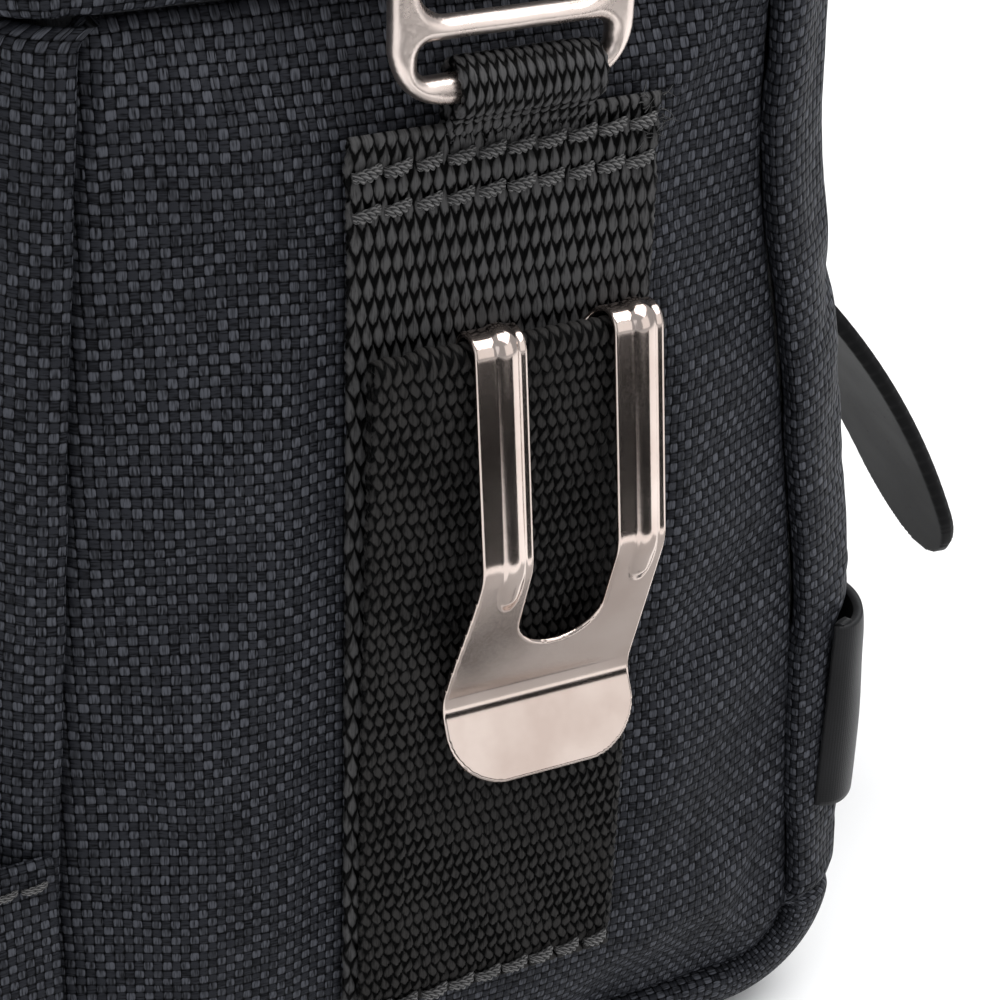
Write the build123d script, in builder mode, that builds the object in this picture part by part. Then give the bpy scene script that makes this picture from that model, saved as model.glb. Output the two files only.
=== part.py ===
from build123d import *

import math
import os

# Electrician tool pouch, in millimetres. +Z is up, -Y is the front, +Y is the back
# that hangs against the belt, and +X is the side that carries the tape clip.
# The origin is on the base's rest face, midway between the two side panels.

# ---------------------------------------------------------------- driving dimensions
HALF_WIDTH = 50.5  # centre to the flat outside of the wrapped edges
BODY_TOP = 166.0  # where the panels end and the collar starts
FRONT_Y_TOP = -55.0
BACK_Y_TOP = 48.0
FRONT_SLOPE = 10.5 / 146.0  # how far the front leans out for each mm of drop
BACK_SLOPE = 17.0 / 146.0
CORNER_RADIUS = 20.0  # bottom corners in the side view
WRAP_RADIUS = 9.0  # front, base and back panels wrap round to the side seam
PANEL = 3.0  # fabric and foam of a wall
GAP = 0.1  # clearance between neighbouring soft pieces

CROWN_X = 56.05  # highest point of the bulging side panel
CROWN_ALONG_RADIUS = 52.2  # how the bulge falls away at its top and bottom
CROWN_ACROSS_RADIUS = 253.0
CROWN_FLAT_LOW = 33.0
CROWN_FLAT_HIGH = 142.0

COLLAR_HEIGHT = 21.0
COLLAR_WALL = 8.5
COLLAR_OVERHANG = 1.0
COLLAR_INNER_CORNER = 4.0
COLLAR_ROLL = 3.8

LINING_INSET = 7.0
LINING = 0.8
LINING_HALF_WIDTH = 47.2
BOARD = 1.5

WEBBING = 1.45
STRAP_WIDTH = 38.0  # 1.5 inch webbing
STRAP_INNER_X = 56.15
STRAP_LOW = 31.0
STRAP_HIGH = 152.0
NARROW_WIDTH = 17.5  # 3/4 inch webbing, a little gathered in the ring
NARROW_CENTRE_Y = 1.15

RING_X = 58.0
RING_Y = -0.6
RING_BAR_Z = 156.4  # centre of the lower bar, which the narrow webbing wraps
RING_WIDTH = 28.8
RING_HEIGHT = 25.6
RING_THICK = 3.2
RING_LOWER_BAR = 3.4
RING_MID_BAR = 2.6
RING_LOWER_WINDOW = 3.9
RING_WINDOW_WIDTH = 22.4

CLIP_SHEET = 0.8
CLIP_CENTRE_Y = 5.0
CLIP_WIDTH = 25.6  # across the lip
CLIP_ARMS_FRONT_Y = -6.25  # the arms stand a little in from the lip's front edge
CLIP_SLOT_WIDTH = 11.0
CLIP_SLOT_CENTRE_Y = 5.8
CLIP_BEND = (60.5, 125.5)  # X, Z of the bend over the flap's fold
CLIP_BEND_RADIUS = 2.4
CLIP_KNEE = (66.9, 100.0)
CLIP_TOUCH = (59.95, 78.0)
CLIP_LIP = (65.0, 68.4)
CLIP_LIP_CORNER = 7.5
CLIP_KNEE_RADIUS = 7.0
CLIP_TOUCH_RADIUS = 1.6
CLIP_SLOT_FOOT_Z = 86.2
CLIP_LEG_X = 58.1
CLIP_LEG_SHEET = 0.7
CLIP_LEG_Z = 112.3
CLIP_LEG_HEIGHT = 24.0
CLIP_LEG_CORNER = 3.0

TONGUE_THICK = 2.4
TONGUE_HALF_WIDTH = 21.0
TONGUE_TIP_HALF_WIDTH = 10.0
TONGUE_LENGTH = 83.7
TONGUE_BEND_RADIUS = 3.2
TONGUE_START_DEG = 47.0  # lean away from straight down, at the bend
TONGUE_END_DEG = 23.0  # and at the tip
TONGUE_BEND_Z = 105.1
RIVET_RADIUS = 2.0
RIVET_X = 12.0
RIVET_HEIGHTS = (76.0, 96.0)
RIVET_CLEARANCE = 0.05
RIVET_HEAD_RADIUS = 3.9
RIVET_HEAD_HEIGHT = 1.3
RIVET_HEAD_TAPER = 35.0
RIVET_TAIL_RADIUS = 3.2
RIVET_TAIL_HEIGHT = 0.8

PARTS_FOLDER = "parts"
os.makedirs(PARTS_FOLDER, exist_ok=True)


# ---------------------------------------------------------------- shared shapes
def front_y(z):
    """Outer face of the front panel at height z."""
    return FRONT_Y_TOP - (BODY_TOP - z) * FRONT_SLOPE


def back_y(z):
    """Outer face of the back panel at height z."""
    return BACK_Y_TOP + (BODY_TOP - z) * BACK_SLOPE


def side_outline(inset, x=0.0):
    """Side view of the pouch, inset from its outer face, running on past the top."""
    over = BODY_TOP + 40.0
    with BuildSketch(Plane.YZ.offset(x)) as outline:
        with BuildLine():
            Polyline(
                (front_y(over), over),
                (front_y(0.0), 0.0),
                (back_y(0.0), 0.0),
                (back_y(over), over),
                close=True,
            )
        make_face()
        fillet(outline.vertices().group_by(Axis.Z)[0], radius=CORNER_RADIUS)
        if inset:
            offset(amount=-inset)
    return outline.sketch


def tub(inset, half_width, edge_radius):
    """The pouch's solid shape, with its long edges rounded towards both sides."""
    with BuildPart() as solid:
        extrude(side_outline(inset), amount=half_width, both=True)
        rim = solid.faces().filter_by(Axis.X).edges()
        rim = rim.filter_by(lambda edge: edge.center().Z < BODY_TOP + 20.0)
        fillet(rim, radius=edge_radius)
    return solid.part


def slab(y_low, y_high, z_low, z_high):
    """A box across the whole width, used to cut one panel out of the shell."""
    with BuildPart() as box:
        with BuildSketch(Plane.XY.offset(z_low)):
            with Locations((0, (y_low + y_high) / 2)):
                Rectangle(4 * HALF_WIDTH, y_high - y_low)
        extrude(amount=z_high - z_low)
    return box.part


def shell():
    """Front, base and back walls in one: open at the top and at the side panels."""
    with BuildPart() as walls:
        add(tub(0.0, HALF_WIDTH, WRAP_RADIUS))
        add(tub(PANEL, HALF_WIDTH - PANEL, WRAP_RADIUS - PANEL), mode=Mode.SUBTRACT)
        extrude(side_outline(WRAP_RADIUS), amount=2 * HALF_WIDTH, both=True, mode=Mode.SUBTRACT)
    return walls.part


def mirrored(source):
    """The same piece on the pouch's other side."""
    with BuildPart() as copy:
        mirror(source.part, about=Plane.YZ)
    return copy


def save(builder, name):
    """Label a finished piece and write its file."""
    builder.part.label = name
    export_step(builder.part, f"{PARTS_FOLDER}/{name}.step")


# The back panel's outer face: local x across, local y up the slope, local z outwards.
BACK_TILT = math.atan(BACK_SLOPE)
BACK_FACE = Plane(
    origin=(0.0, back_y(0.0), 0.0),
    x_dir=(-1.0, 0.0, 0.0),
    z_dir=(0.0, math.cos(BACK_TILT), math.sin(BACK_TILT)),
)
FRONT_TILT = math.atan(FRONT_SLOPE)
FRONT_FACE = Plane(
    origin=(0.0, front_y(0.0), 0.0),
    x_dir=(1.0, 0.0, 0.0),
    z_dir=(0.0, -math.cos(FRONT_TILT), math.sin(FRONT_TILT)),
)


def plate(plane, level, thickness, half_width, low, high, corner):
    """A rounded plate lying parallel to a sloping face, level mm outside it."""
    with BuildPart() as sheet:
        with BuildSketch(plane.offset(level)):
            with Locations((0, (low + high) / 2)):
                RectangleRounded(2 * half_width, high - low, corner)
        extrude(amount=thickness)
    return sheet


def rivet_spots():
    """Where the belt clip's rivets cross the back face, in its own coordinates."""
    return [(x, z / math.cos(BACK_TILT)) for x in (-RIVET_X, RIVET_X) for z in RIVET_HEIGHTS]


def rivet_holes(level_low, level_high):
    """Clearance holes for the four rivets through one layer of the back."""
    with BuildPart() as holes:
        with BuildSketch(BACK_FACE.offset(level_low)):
            with Locations(*rivet_spots()):
                Circle(RIVET_RADIUS + RIVET_CLEARANCE)
        extrude(amount=level_high - level_low)
    return holes.part


# ---------------------------------------------------------------- fabric walls
walls_shape = shell()

with BuildPart() as front_panel:
    add(walls_shape)
    add(slab(-120.0, -10.0, CORNER_RADIUS, BODY_TOP), mode=Mode.INTERSECT)
save(front_panel, "front_panel")

with BuildPart() as base_panel:
    add(walls_shape)
    add(slab(-120.0, 120.0, -1.0, CORNER_RADIUS), mode=Mode.INTERSECT)
save(base_panel, "base_panel")

with BuildPart() as back_panel:
    add(walls_shape)
    add(slab(10.0, 120.0, CORNER_RADIUS, BODY_TOP), mode=Mode.INTERSECT)
    add(rivet_holes(-10.0, 5.0), mode=Mode.SUBTRACT)
save(back_panel, "back_panel")

# Side panel: a pad that bulges across its width and falls away to its top and bottom seams.
GUSSET_BACK_X = HALF_WIDTH - PANEL + GAP
GUSSET_CENTRE_Y = -1.0
TAIL_POCKET_Z = 147.0  # where the narrow webbing's tail is pressed into the pad
TAIL_POCKET_DEPTH = 1.6
TAIL_POCKET_HEIGHT = 15.0
TAIL_SIDE_ROOM = 0.3

with BuildPart() as gusset_right:
    extrude(side_outline(WRAP_RADIUS + GAP, GUSSET_BACK_X), amount=20.0)
    add(slab(-120.0, 120.0, 0.0, BODY_TOP), mode=Mode.INTERSECT)
    with BuildSketch(Plane.XY):
        with Locations((CROWN_X - CROWN_ACROSS_RADIUS, GUSSET_CENTRE_Y)):
            Circle(CROWN_ACROSS_RADIUS)
    extrude(amount=BODY_TOP, mode=Mode.INTERSECT)
    with BuildSketch(Plane.XZ.offset(-120.0)) as side_bulge:
        for z, reach in ((CROWN_FLAT_HIGH, 1), (CROWN_FLAT_LOW, -1)):
            with Locations((CROWN_X - CROWN_ALONG_RADIUS, z)):
                Circle(CROWN_ALONG_RADIUS)
        with Locations((CROWN_X - CROWN_ALONG_RADIUS / 2, (CROWN_FLAT_LOW + CROWN_FLAT_HIGH) / 2)):
            Rectangle(CROWN_ALONG_RADIUS, CROWN_FLAT_HIGH - CROWN_FLAT_LOW)
    extrude(amount=240.0, mode=Mode.INTERSECT)
    with BuildSketch(Plane.XZ.offset(-(NARROW_CENTRE_Y + NARROW_WIDTH / 2 + TAIL_SIDE_ROOM))):
        with Locations((CROWN_X, TAIL_POCKET_Z)):
            Rectangle(2 * TAIL_POCKET_DEPTH, TAIL_POCKET_HEIGHT)
    extrude(amount=NARROW_WIDTH + 2 * TAIL_SIDE_ROOM, mode=Mode.SUBTRACT)
save(gusset_right, "gusset_right")

gusset_left = mirrored(gusset_right)
save(gusset_left, "gusset_left")

# Padded collar round the mouth.
with BuildPart() as mouth_collar:
    collar_half = HALF_WIDTH + COLLAR_OVERHANG
    collar_front = FRONT_Y_TOP - COLLAR_OVERHANG
    collar_back = BACK_Y_TOP + COLLAR_OVERHANG
    collar_length = collar_back - collar_front
    with BuildSketch(Plane.XY.offset(BODY_TOP + GAP)):
        with Locations((0, (collar_front + collar_back) / 2)):
            RectangleRounded(2 * collar_half, collar_length, WRAP_RADIUS + COLLAR_OVERHANG)
            RectangleRounded(
                2 * (collar_half - COLLAR_WALL),
                collar_length - 2 * COLLAR_WALL,
                COLLAR_INNER_CORNER,
                mode=Mode.SUBTRACT,
            )
    extrude(amount=COLLAR_HEIGHT)
    fillet(mouth_collar.faces().sort_by(Axis.Z)[-1].edges(), radius=COLLAR_ROLL)
save(mouth_collar, "mouth_collar")

# ---------------------------------------------------------------- inside the walls
with BuildPart() as lining:
    add(tub(LINING_INSET, LINING_HALF_WIDTH, 5.0))
    add(tub(LINING_INSET + LINING, LINING_HALF_WIDTH - LINING, 5.0 - LINING), mode=Mode.SUBTRACT)
    add(slab(-120.0, 120.0, 0.0, BODY_TOP), mode=Mode.INTERSECT)
save(lining, "lining")

INNER_LEVEL = -(PANEL + GAP)  # just inside a wall, measured from its outer face
BOARD_HALF_WIDTH = 40.0
BOARD_LOW = 26.0
BOARD_HIGH = 156.0
BOARD_CORNER = 8.0
FOAM = 3.6
BASE_BOARD = (82.0, 84.0)

back_board = plate(
    BACK_FACE, INNER_LEVEL - BOARD, BOARD, BOARD_HALF_WIDTH, BOARD_LOW, BOARD_HIGH, BOARD_CORNER
)
with back_board:
    add(rivet_holes(-10.0, 0.0), mode=Mode.SUBTRACT)
save(back_board, "back_board")

front_foam = plate(
    FRONT_FACE, -(LINING_INSET - GAP), FOAM, BOARD_HALF_WIDTH, BOARD_LOW, BOARD_HIGH, BOARD_CORNER
)
save(front_foam, "front_foam")

with BuildPart() as base_board:
    with BuildSketch(Plane.XY.offset(PANEL + GAP)):
        RectangleRounded(*BASE_BOARD, BOARD_CORNER)
    extrude(amount=BOARD)
save(base_board, "base_board")

# A divider splits the main compartment, with a row of elastic tool loops on its back.
DIVIDER_Y = -6.0
DIVIDER = 1.6
DIVIDER_LOW = 9.0
DIVIDER_HIGH = 151.0
DIVIDER_CORNER = 5.0
DIVIDER_FACE_Y = DIVIDER_Y + DIVIDER
INNER_HALF_WIDTH = LINING_HALF_WIDTH - LINING
LOOP_OUTER = 11.0
LOOP_SPACING = 28.0
LOOP_LOW = 104.0
LOOP_HEIGHT = 25.0
LOOP_BAND_WIDTH = 84.0

with BuildPart() as divider:
    with BuildSketch(Plane.XZ.offset(-DIVIDER_FACE_Y)):
        with Locations((0, (DIVIDER_LOW + DIVIDER_HIGH) / 2)):
            RectangleRounded(2 * INNER_HALF_WIDTH, DIVIDER_HIGH - DIVIDER_LOW, DIVIDER_CORNER)
    extrude(amount=DIVIDER)
save(divider, "divider")

with BuildPart() as tool_loops:
    loop_spots = [(i * LOOP_SPACING, DIVIDER_FACE_Y) for i in (-1, 0, 1)]
    with BuildSketch(Plane.XY.offset(LOOP_LOW)):
        with Locations((0, DIVIDER_FACE_Y + WEBBING / 2)):
            Rectangle(LOOP_BAND_WIDTH, WEBBING)
        with Locations(*loop_spots):
            Circle(LOOP_OUTER)
            Circle(LOOP_OUTER - WEBBING, mode=Mode.SUBTRACT)
        with Locations((0, DIVIDER_FACE_Y - LOOP_OUTER)):
            Rectangle(2 * HALF_WIDTH, 2 * LOOP_OUTER, mode=Mode.SUBTRACT)
    extrude(amount=LOOP_HEIGHT)
save(tool_loops, "tool_loops")

# ---------------------------------------------------------------- outside pockets and band
POCKET_LOW = 14.0
POCKET_HEM = 64.0
POCKET_FRONT_Y = -80.0
POCKET_BACK_Y = -54.0
POCKET_SHEET = 1.6
POCKET_HALF = HALF_WIDTH + 1.8
POCKET_CORNER = 12.0


def pocket_block(inset, low, high):
    """The front pocket's outer shape, drawn in by inset."""
    front = POCKET_FRONT_Y + inset
    with BuildPart() as block:
        with BuildSketch(Plane.XY.offset(low)):
            with Locations((0, front + 40.0)):
                RectangleRounded(2 * (POCKET_HALF - inset), 80.0, POCKET_CORNER - inset)
        extrude(amount=high - low)
    return block.part


with BuildPart() as front_pocket:
    add(pocket_block(0.0, POCKET_LOW, POCKET_HEM))
    add(pocket_block(POCKET_SHEET, POCKET_LOW + POCKET_SHEET, POCKET_HEM + 1), mode=Mode.SUBTRACT)
    add(slab(-120.0, POCKET_BACK_Y, 0.0, BODY_TOP), mode=Mode.INTERSECT)
    add(tub(-0.2, HALF_WIDTH + 0.2, WRAP_RADIUS), mode=Mode.SUBTRACT)
save(front_pocket, "front_pocket")

BAND_LOW = 37.0
BAND_HIGH = 67.0
BAND_OUTER_Y = 66.5
BAND_SHEET = 1.5
BAND_HALF = HALF_WIDTH + 0.1 + BAND_SHEET
BAND_START_Y = 52.0
BAND_DEPTH = 60.0  # front to back, before its front part is cut away
BAND_CORNER = 11.0

with BuildPart() as back_band:
    with BuildSketch(Plane.XY.offset(BAND_LOW)):
        with Locations((0, BAND_OUTER_Y - BAND_DEPTH / 2)):
            RectangleRounded(2 * BAND_HALF, BAND_DEPTH, BAND_CORNER)
            RectangleRounded(
                2 * (BAND_HALF - BAND_SHEET),
                BAND_DEPTH - 2 * BAND_SHEET,
                BAND_CORNER - BAND_SHEET,
                mode=Mode.SUBTRACT,
            )
        with Locations((0, BAND_START_Y - 40.0)):
            Rectangle(4 * HALF_WIDTH, 80.0, mode=Mode.SUBTRACT)
    extrude(amount=BAND_HIGH - BAND_LOW)
    add(tub(-0.1, HALF_WIDTH + 0.1, WRAP_RADIUS), mode=Mode.SUBTRACT)
save(back_band, "back_band")

# ---------------------------------------------------------------- side webbing
with BuildPart() as strap_right:
    with BuildSketch(Plane.YZ.offset(STRAP_INNER_X)):
        with Locations((0, (STRAP_LOW + STRAP_HIGH) / 2)):
            Rectangle(STRAP_WIDTH, STRAP_HIGH - STRAP_LOW)
    extrude(amount=WEBBING)
save(strap_right, "strap_right")

strap_left = mirrored(strap_right)
save(strap_left, "strap_left")

# Narrow webbing: a loop round the ring's lower bar, with its tail behind the wide strap.
LOOP_INNER_RADIUS = 2.0
LOOP_OUTER_RADIUS = 3.4
TAIL_LOW = 140.5

with BuildPart() as ring_loop_right:
    with BuildSketch(Plane.XZ.offset(-(NARROW_CENTRE_Y + NARROW_WIDTH / 2))):
        with Locations((RING_X, RING_BAR_Z)):
            Circle(LOOP_OUTER_RADIUS)
        with Locations((RING_X - LOOP_OUTER_RADIUS + 0.7, (TAIL_LOW + RING_BAR_Z) / 2)):
            Rectangle(1.4, RING_BAR_Z - TAIL_LOW)
        with Locations((RING_X, RING_BAR_Z)):
            Circle(LOOP_INNER_RADIUS, mode=Mode.SUBTRACT)
    extrude(amount=NARROW_WIDTH)
save(ring_loop_right, "ring_loop_right")

ring_loop_left = mirrored(ring_loop_right)
save(ring_loop_left, "ring_loop_left")

# Ladder ring: a narrow slot for the webbing loop and a larger eye above it.
RING_LOW_Z = RING_BAR_Z - RING_LOWER_BAR / 2
SLOT_LOW_Z = RING_LOW_Z + RING_LOWER_BAR
EYE_LOW_Z = SLOT_LOW_Z + RING_LOWER_WINDOW + RING_MID_BAR
EYE_HIGH_Z = RING_LOW_Z + RING_HEIGHT - RING_LOWER_BAR
RING_CORNER = 7.0
RING_SLOT_CORNER = 1.4
RING_EYE_CORNER = 3.6
RING_EDGE = 1.1

with BuildPart() as ring_right:
    with BuildSketch(Plane.YZ.offset(RING_X - RING_THICK / 2)):
        with Locations((RING_Y, RING_LOW_Z + RING_HEIGHT / 2)):
            RectangleRounded(RING_WIDTH, RING_HEIGHT, RING_CORNER)
        with Locations((RING_Y, SLOT_LOW_Z + RING_LOWER_WINDOW / 2)):
            RectangleRounded(RING_WINDOW_WIDTH, RING_LOWER_WINDOW, RING_SLOT_CORNER, mode=Mode.SUBTRACT)
        with Locations((RING_Y, (EYE_LOW_Z + EYE_HIGH_Z) / 2)):
            RectangleRounded(RING_WINDOW_WIDTH, EYE_HIGH_Z - EYE_LOW_Z, RING_EYE_CORNER, mode=Mode.SUBTRACT)
    extrude(amount=RING_THICK)
    fillet(ring_right.faces().filter_by(Axis.X).edges(), radius=RING_EDGE)
save(ring_right, "ring_right")

ring_left = mirrored(ring_right)
save(ring_left, "ring_left")

# Flap: a second layer of the wide webbing, folded over at its top for the tape clip.
FLAP_FOLD_Z = 125.0
FLAP_FOLD_RADIUS = 1.5
FLAP_FOLD_X = 60.35
FLAP_BACK_X = 57.75
FLAP_FACE_X = 59.1
FLAP_FRONT_Y = -17.5
FLAP_BACK_Y = 19.0

with BuildPart() as tape_flap:
    with BuildSketch(Plane.XZ.offset(-FLAP_BACK_Y)):
        with BuildLine():
            Polyline(
                (FLAP_FOLD_X - FLAP_FOLD_RADIUS, FLAP_FOLD_Z),
                (FLAP_FOLD_X - FLAP_FOLD_RADIUS, 98.0),
                (FLAP_BACK_X, 95.0),
                (FLAP_BACK_X, STRAP_LOW),
                (FLAP_FACE_X, STRAP_LOW),
                (FLAP_FACE_X, 84.0),
                (FLAP_FOLD_X + FLAP_FOLD_RADIUS, FLAP_FOLD_Z),
            )
            ThreePointArc(
                (FLAP_FOLD_X + FLAP_FOLD_RADIUS, FLAP_FOLD_Z),
                (FLAP_FOLD_X, FLAP_FOLD_Z + FLAP_FOLD_RADIUS),
                (FLAP_FOLD_X - FLAP_FOLD_RADIUS, FLAP_FOLD_Z),
            )
        make_face()
    extrude(amount=FLAP_BACK_Y - FLAP_FRONT_Y)
save(tape_flap, "tape_flap")

# ---------------------------------------------------------------- tape clip
# One stamped spring. Its front flexes about the bend over the flap's fold, so the strip is
# cut just behind that bend: the leg stays behind the flap and the front swings.
CLIP_EDGE_Y = CLIP_CENTRE_Y + CLIP_WIDTH / 2
CLIP_ARM_LEAN = math.atan2(CLIP_KNEE[0] - CLIP_BEND[0] - CLIP_BEND_RADIUS, CLIP_BEND[1] - CLIP_KNEE[1])
CLIP_SPLIT_DEG = 150.0


def on_bend(degrees):
    """A point on the middle line of the tape clip's bend, as (x, z)."""
    angle = math.radians(degrees)
    return (
        CLIP_BEND[0] + CLIP_BEND_RADIUS * math.cos(angle),
        CLIP_BEND[1] + CLIP_BEND_RADIUS * math.sin(angle),
    )


with BuildPart() as tape_clip_front:
    with BuildSketch(Plane.XZ.offset(-CLIP_EDGE_Y)):
        lean_deg = math.degrees(CLIP_ARM_LEAN)
        clip_radii = (CLIP_KNEE_RADIUS, CLIP_TOUCH_RADIUS)
        with BuildLine():
            ThreePointArc(on_bend(CLIP_SPLIT_DEG), on_bend(80.0), on_bend(lean_deg))
            FilletPolyline(on_bend(lean_deg), CLIP_KNEE, CLIP_TOUCH, CLIP_LIP, radius=clip_radii)
            offset(amount=CLIP_SHEET / 2)
        make_face()
    extrude(amount=CLIP_WIDTH)
    # the slot between the two arms, open over the bend and round at its foot
    slot_centre_z = CLIP_SLOT_FOOT_Z + CLIP_SLOT_WIDTH / 2
    slot_run = CLIP_BEND[1] + 2 * CLIP_BEND_RADIUS - slot_centre_z
    with BuildSketch(Plane.YZ.offset(HALF_WIDTH)):
        with Locations((CLIP_SLOT_CENTRE_Y, slot_centre_z + slot_run / 2)):
            Rectangle(CLIP_SLOT_WIDTH, slot_run)
        with Locations((CLIP_SLOT_CENTRE_Y, slot_centre_z)):
            Circle(CLIP_SLOT_WIDTH / 2)
    extrude(amount=HALF_WIDTH, mode=Mode.SUBTRACT)
    # the arms are set in from the lip's front edge, and the lip's two corners are round
    lip_low_z = CLIP_LIP[1] - CLIP_SHEET / 2
    outline_high_z = CLIP_BEND[1] + 20.0
    lip_front_y = CLIP_EDGE_Y - CLIP_WIDTH
    with BuildSketch(Plane.YZ.offset(HALF_WIDTH)) as clip_outline:
        with BuildLine():
            Polyline(
                (CLIP_EDGE_Y, lip_low_z),
                (CLIP_EDGE_Y, outline_high_z),
                (CLIP_ARMS_FRONT_Y, outline_high_z),
                (CLIP_ARMS_FRONT_Y, CLIP_KNEE[1]),
                (lip_front_y, CLIP_TOUCH[1] + 4.0),
                (lip_front_y, lip_low_z),
                close=True,
            )
        make_face()
        fillet(clip_outline.vertices().group_by(Axis.Z)[0], radius=CLIP_LIP_CORNER)
    extrude(amount=HALF_WIDTH, mode=Mode.INTERSECT)
save(tape_clip_front, "tape_clip_front")

with BuildPart() as tape_clip_leg:
    with BuildSketch(Plane.YZ.offset(CLIP_LEG_X - CLIP_LEG_SHEET / 2)):
        with Locations(((CLIP_ARMS_FRONT_Y + CLIP_EDGE_Y) / 2, CLIP_LEG_Z)):
            RectangleRounded(CLIP_EDGE_Y - CLIP_ARMS_FRONT_Y, CLIP_LEG_HEIGHT, CLIP_LEG_CORNER)
    extrude(amount=CLIP_LEG_SHEET)
save(tape_clip_leg, "tape_clip_leg")

# ---------------------------------------------------------------- belt clip
# A stamped steel strip: a leg riveted to the back, a tight bend, and a tapering tongue that
# leans away from the back. The tongue flexes about the bend, so the strip is cut there.
LEG_LEVEL = 0.2
LEG_LOW = 46.0
LEG_TOP_CLEARANCE = 0.6  # the leg stops this far below the bend
LEG_CORNER = 2.0

belt_clip_leg = plate(
    BACK_FACE,
    LEG_LEVEL,
    TONGUE_THICK,
    TONGUE_HALF_WIDTH,
    LEG_LOW / math.cos(BACK_TILT),
    TONGUE_BEND_Z / math.cos(BACK_TILT) - LEG_TOP_CLEARANCE,
    LEG_CORNER,
)
with belt_clip_leg:
    add(rivet_holes(0.0, 5.0), mode=Mode.SUBTRACT)
save(belt_clip_leg, "belt_clip_leg")

LEG_MIDDLE = LEG_LEVEL + TONGUE_THICK / 2
bend_y = back_y(TONGUE_BEND_Z) + (LEG_MIDDLE + TONGUE_BEND_RADIUS) / math.cos(BACK_TILT)
BELT_SPLIT_DEG = 147.0  # measured from +Y, round the bend's centre; leaves room to flex


def round_belt_bend(degrees):
    """A point on the middle line of the belt clip's bend, as (y, z)."""
    angle = math.radians(degrees)
    return (
        bend_y + TONGUE_BEND_RADIUS * math.cos(angle),
        TONGUE_BEND_Z + TONGUE_BEND_RADIUS * math.sin(angle),
    )


# The tongue's middle line is a shallow arc between its two leans.
mid_lean = math.radians((TONGUE_START_DEG + TONGUE_END_DEG) / 2)
half_turn = math.radians((TONGUE_START_DEG - TONGUE_END_DEG) / 2)
tongue_radius = TONGUE_LENGTH / (2 * half_turn)
tongue_root = round_belt_bend(TONGUE_START_DEG)
chord = 2 * tongue_radius * math.sin(half_turn)
rise = tongue_radius * (1 - math.cos(half_turn))
tongue_tip = (tongue_root[0] + chord * math.sin(mid_lean), tongue_root[1] - chord * math.cos(mid_lean))
tongue_middle = (
    (tongue_root[0] + tongue_tip[0]) / 2 + rise * math.cos(mid_lean),
    (tongue_root[1] + tongue_tip[1]) / 2 + rise * math.sin(mid_lean),
)

TAPER_START = 6.0  # along the chord, where the tongue begins to narrow
TIP_OVERRUN = 0.6
TIP_CORNER = 9.2
BEND_COVER = 12.0  # how far the outline runs back over the bend

TONGUE_PLANE = Plane(
    origin=(0.0, tongue_root[0], tongue_root[1]),
    x_dir=(1.0, 0.0, 0.0),
    z_dir=(0.0, math.cos(mid_lean), math.sin(mid_lean)),
)

with BuildPart() as belt_clip_tongue:
    with BuildSketch(Plane.YZ.offset(-TONGUE_HALF_WIDTH)):
        with BuildLine():
            ThreePointArc(
                round_belt_bend(BELT_SPLIT_DEG),
                round_belt_bend(100.0),
                tongue_root,
            )
            ThreePointArc(tongue_root, tongue_middle, tongue_tip)
            offset(amount=TONGUE_THICK / 2)
        make_face()
    extrude(amount=2 * TONGUE_HALF_WIDTH)
    # its outline from above: full width at the bend, tapering to a rounded tip
    with BuildSketch(TONGUE_PLANE.offset(-40.0)) as tongue_outline:
        with BuildLine():
            Polyline(
                (-TONGUE_HALF_WIDTH, -BEND_COVER),
                (TONGUE_HALF_WIDTH, -BEND_COVER),
                (TONGUE_HALF_WIDTH, TAPER_START),
                (TONGUE_TIP_HALF_WIDTH, chord + TIP_OVERRUN),
                (-TONGUE_TIP_HALF_WIDTH, chord + TIP_OVERRUN),
                (-TONGUE_HALF_WIDTH, TAPER_START),
                close=True,
            )
        make_face()
        tip_corners = tongue_outline.vertices().filter_by(
            lambda vertex: abs(vertex.X) < TONGUE_TIP_HALF_WIDTH + 0.5
        )
        fillet(tip_corners, radius=TIP_CORNER)
    extrude(amount=80.0, mode=Mode.INTERSECT)
save(belt_clip_tongue, "belt_clip_tongue")

PLATE_LEVEL = INNER_LEVEL - BOARD - GAP
BACKING = 1.0
BACKING_LOW = 66.0
BACKING_HIGH = 107.0
BACKING_CORNER = 4.0
belt_backing_plate = plate(
    BACK_FACE, PLATE_LEVEL - BACKING, BACKING, 20.0, BACKING_LOW, BACKING_HIGH, BACKING_CORNER
)
with belt_backing_plate:
    add(rivet_holes(-10.0, 0.0), mode=Mode.SUBTRACT)
save(belt_backing_plate, "belt_backing_plate")

HEAD_LEVEL = LEG_LEVEL + TONGUE_THICK

with BuildPart() as belt_clip_rivets:
    with BuildSketch(BACK_FACE.offset(PLATE_LEVEL - BACKING)):
        with Locations(*rivet_spots()):
            Circle(RIVET_RADIUS)
    extrude(amount=HEAD_LEVEL - PLATE_LEVEL + BACKING)
    with BuildSketch(BACK_FACE.offset(HEAD_LEVEL)):
        with Locations(*rivet_spots()):
            Circle(RIVET_HEAD_RADIUS)
    extrude(amount=RIVET_HEAD_HEIGHT, taper=RIVET_HEAD_TAPER)
    with BuildSketch(BACK_FACE.offset(PLATE_LEVEL - BACKING)):
        with Locations(*rivet_spots()):
            Circle(RIVET_TAIL_RADIUS)
    extrude(amount=-RIVET_TAIL_HEIGHT)
save(belt_clip_rivets, "belt_clip_rivets")
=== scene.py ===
"""Electrician tool pouch: the visual model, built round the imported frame."""
import math

import bpy
import numpy as np
from mathutils import Matrix, Vector


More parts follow.
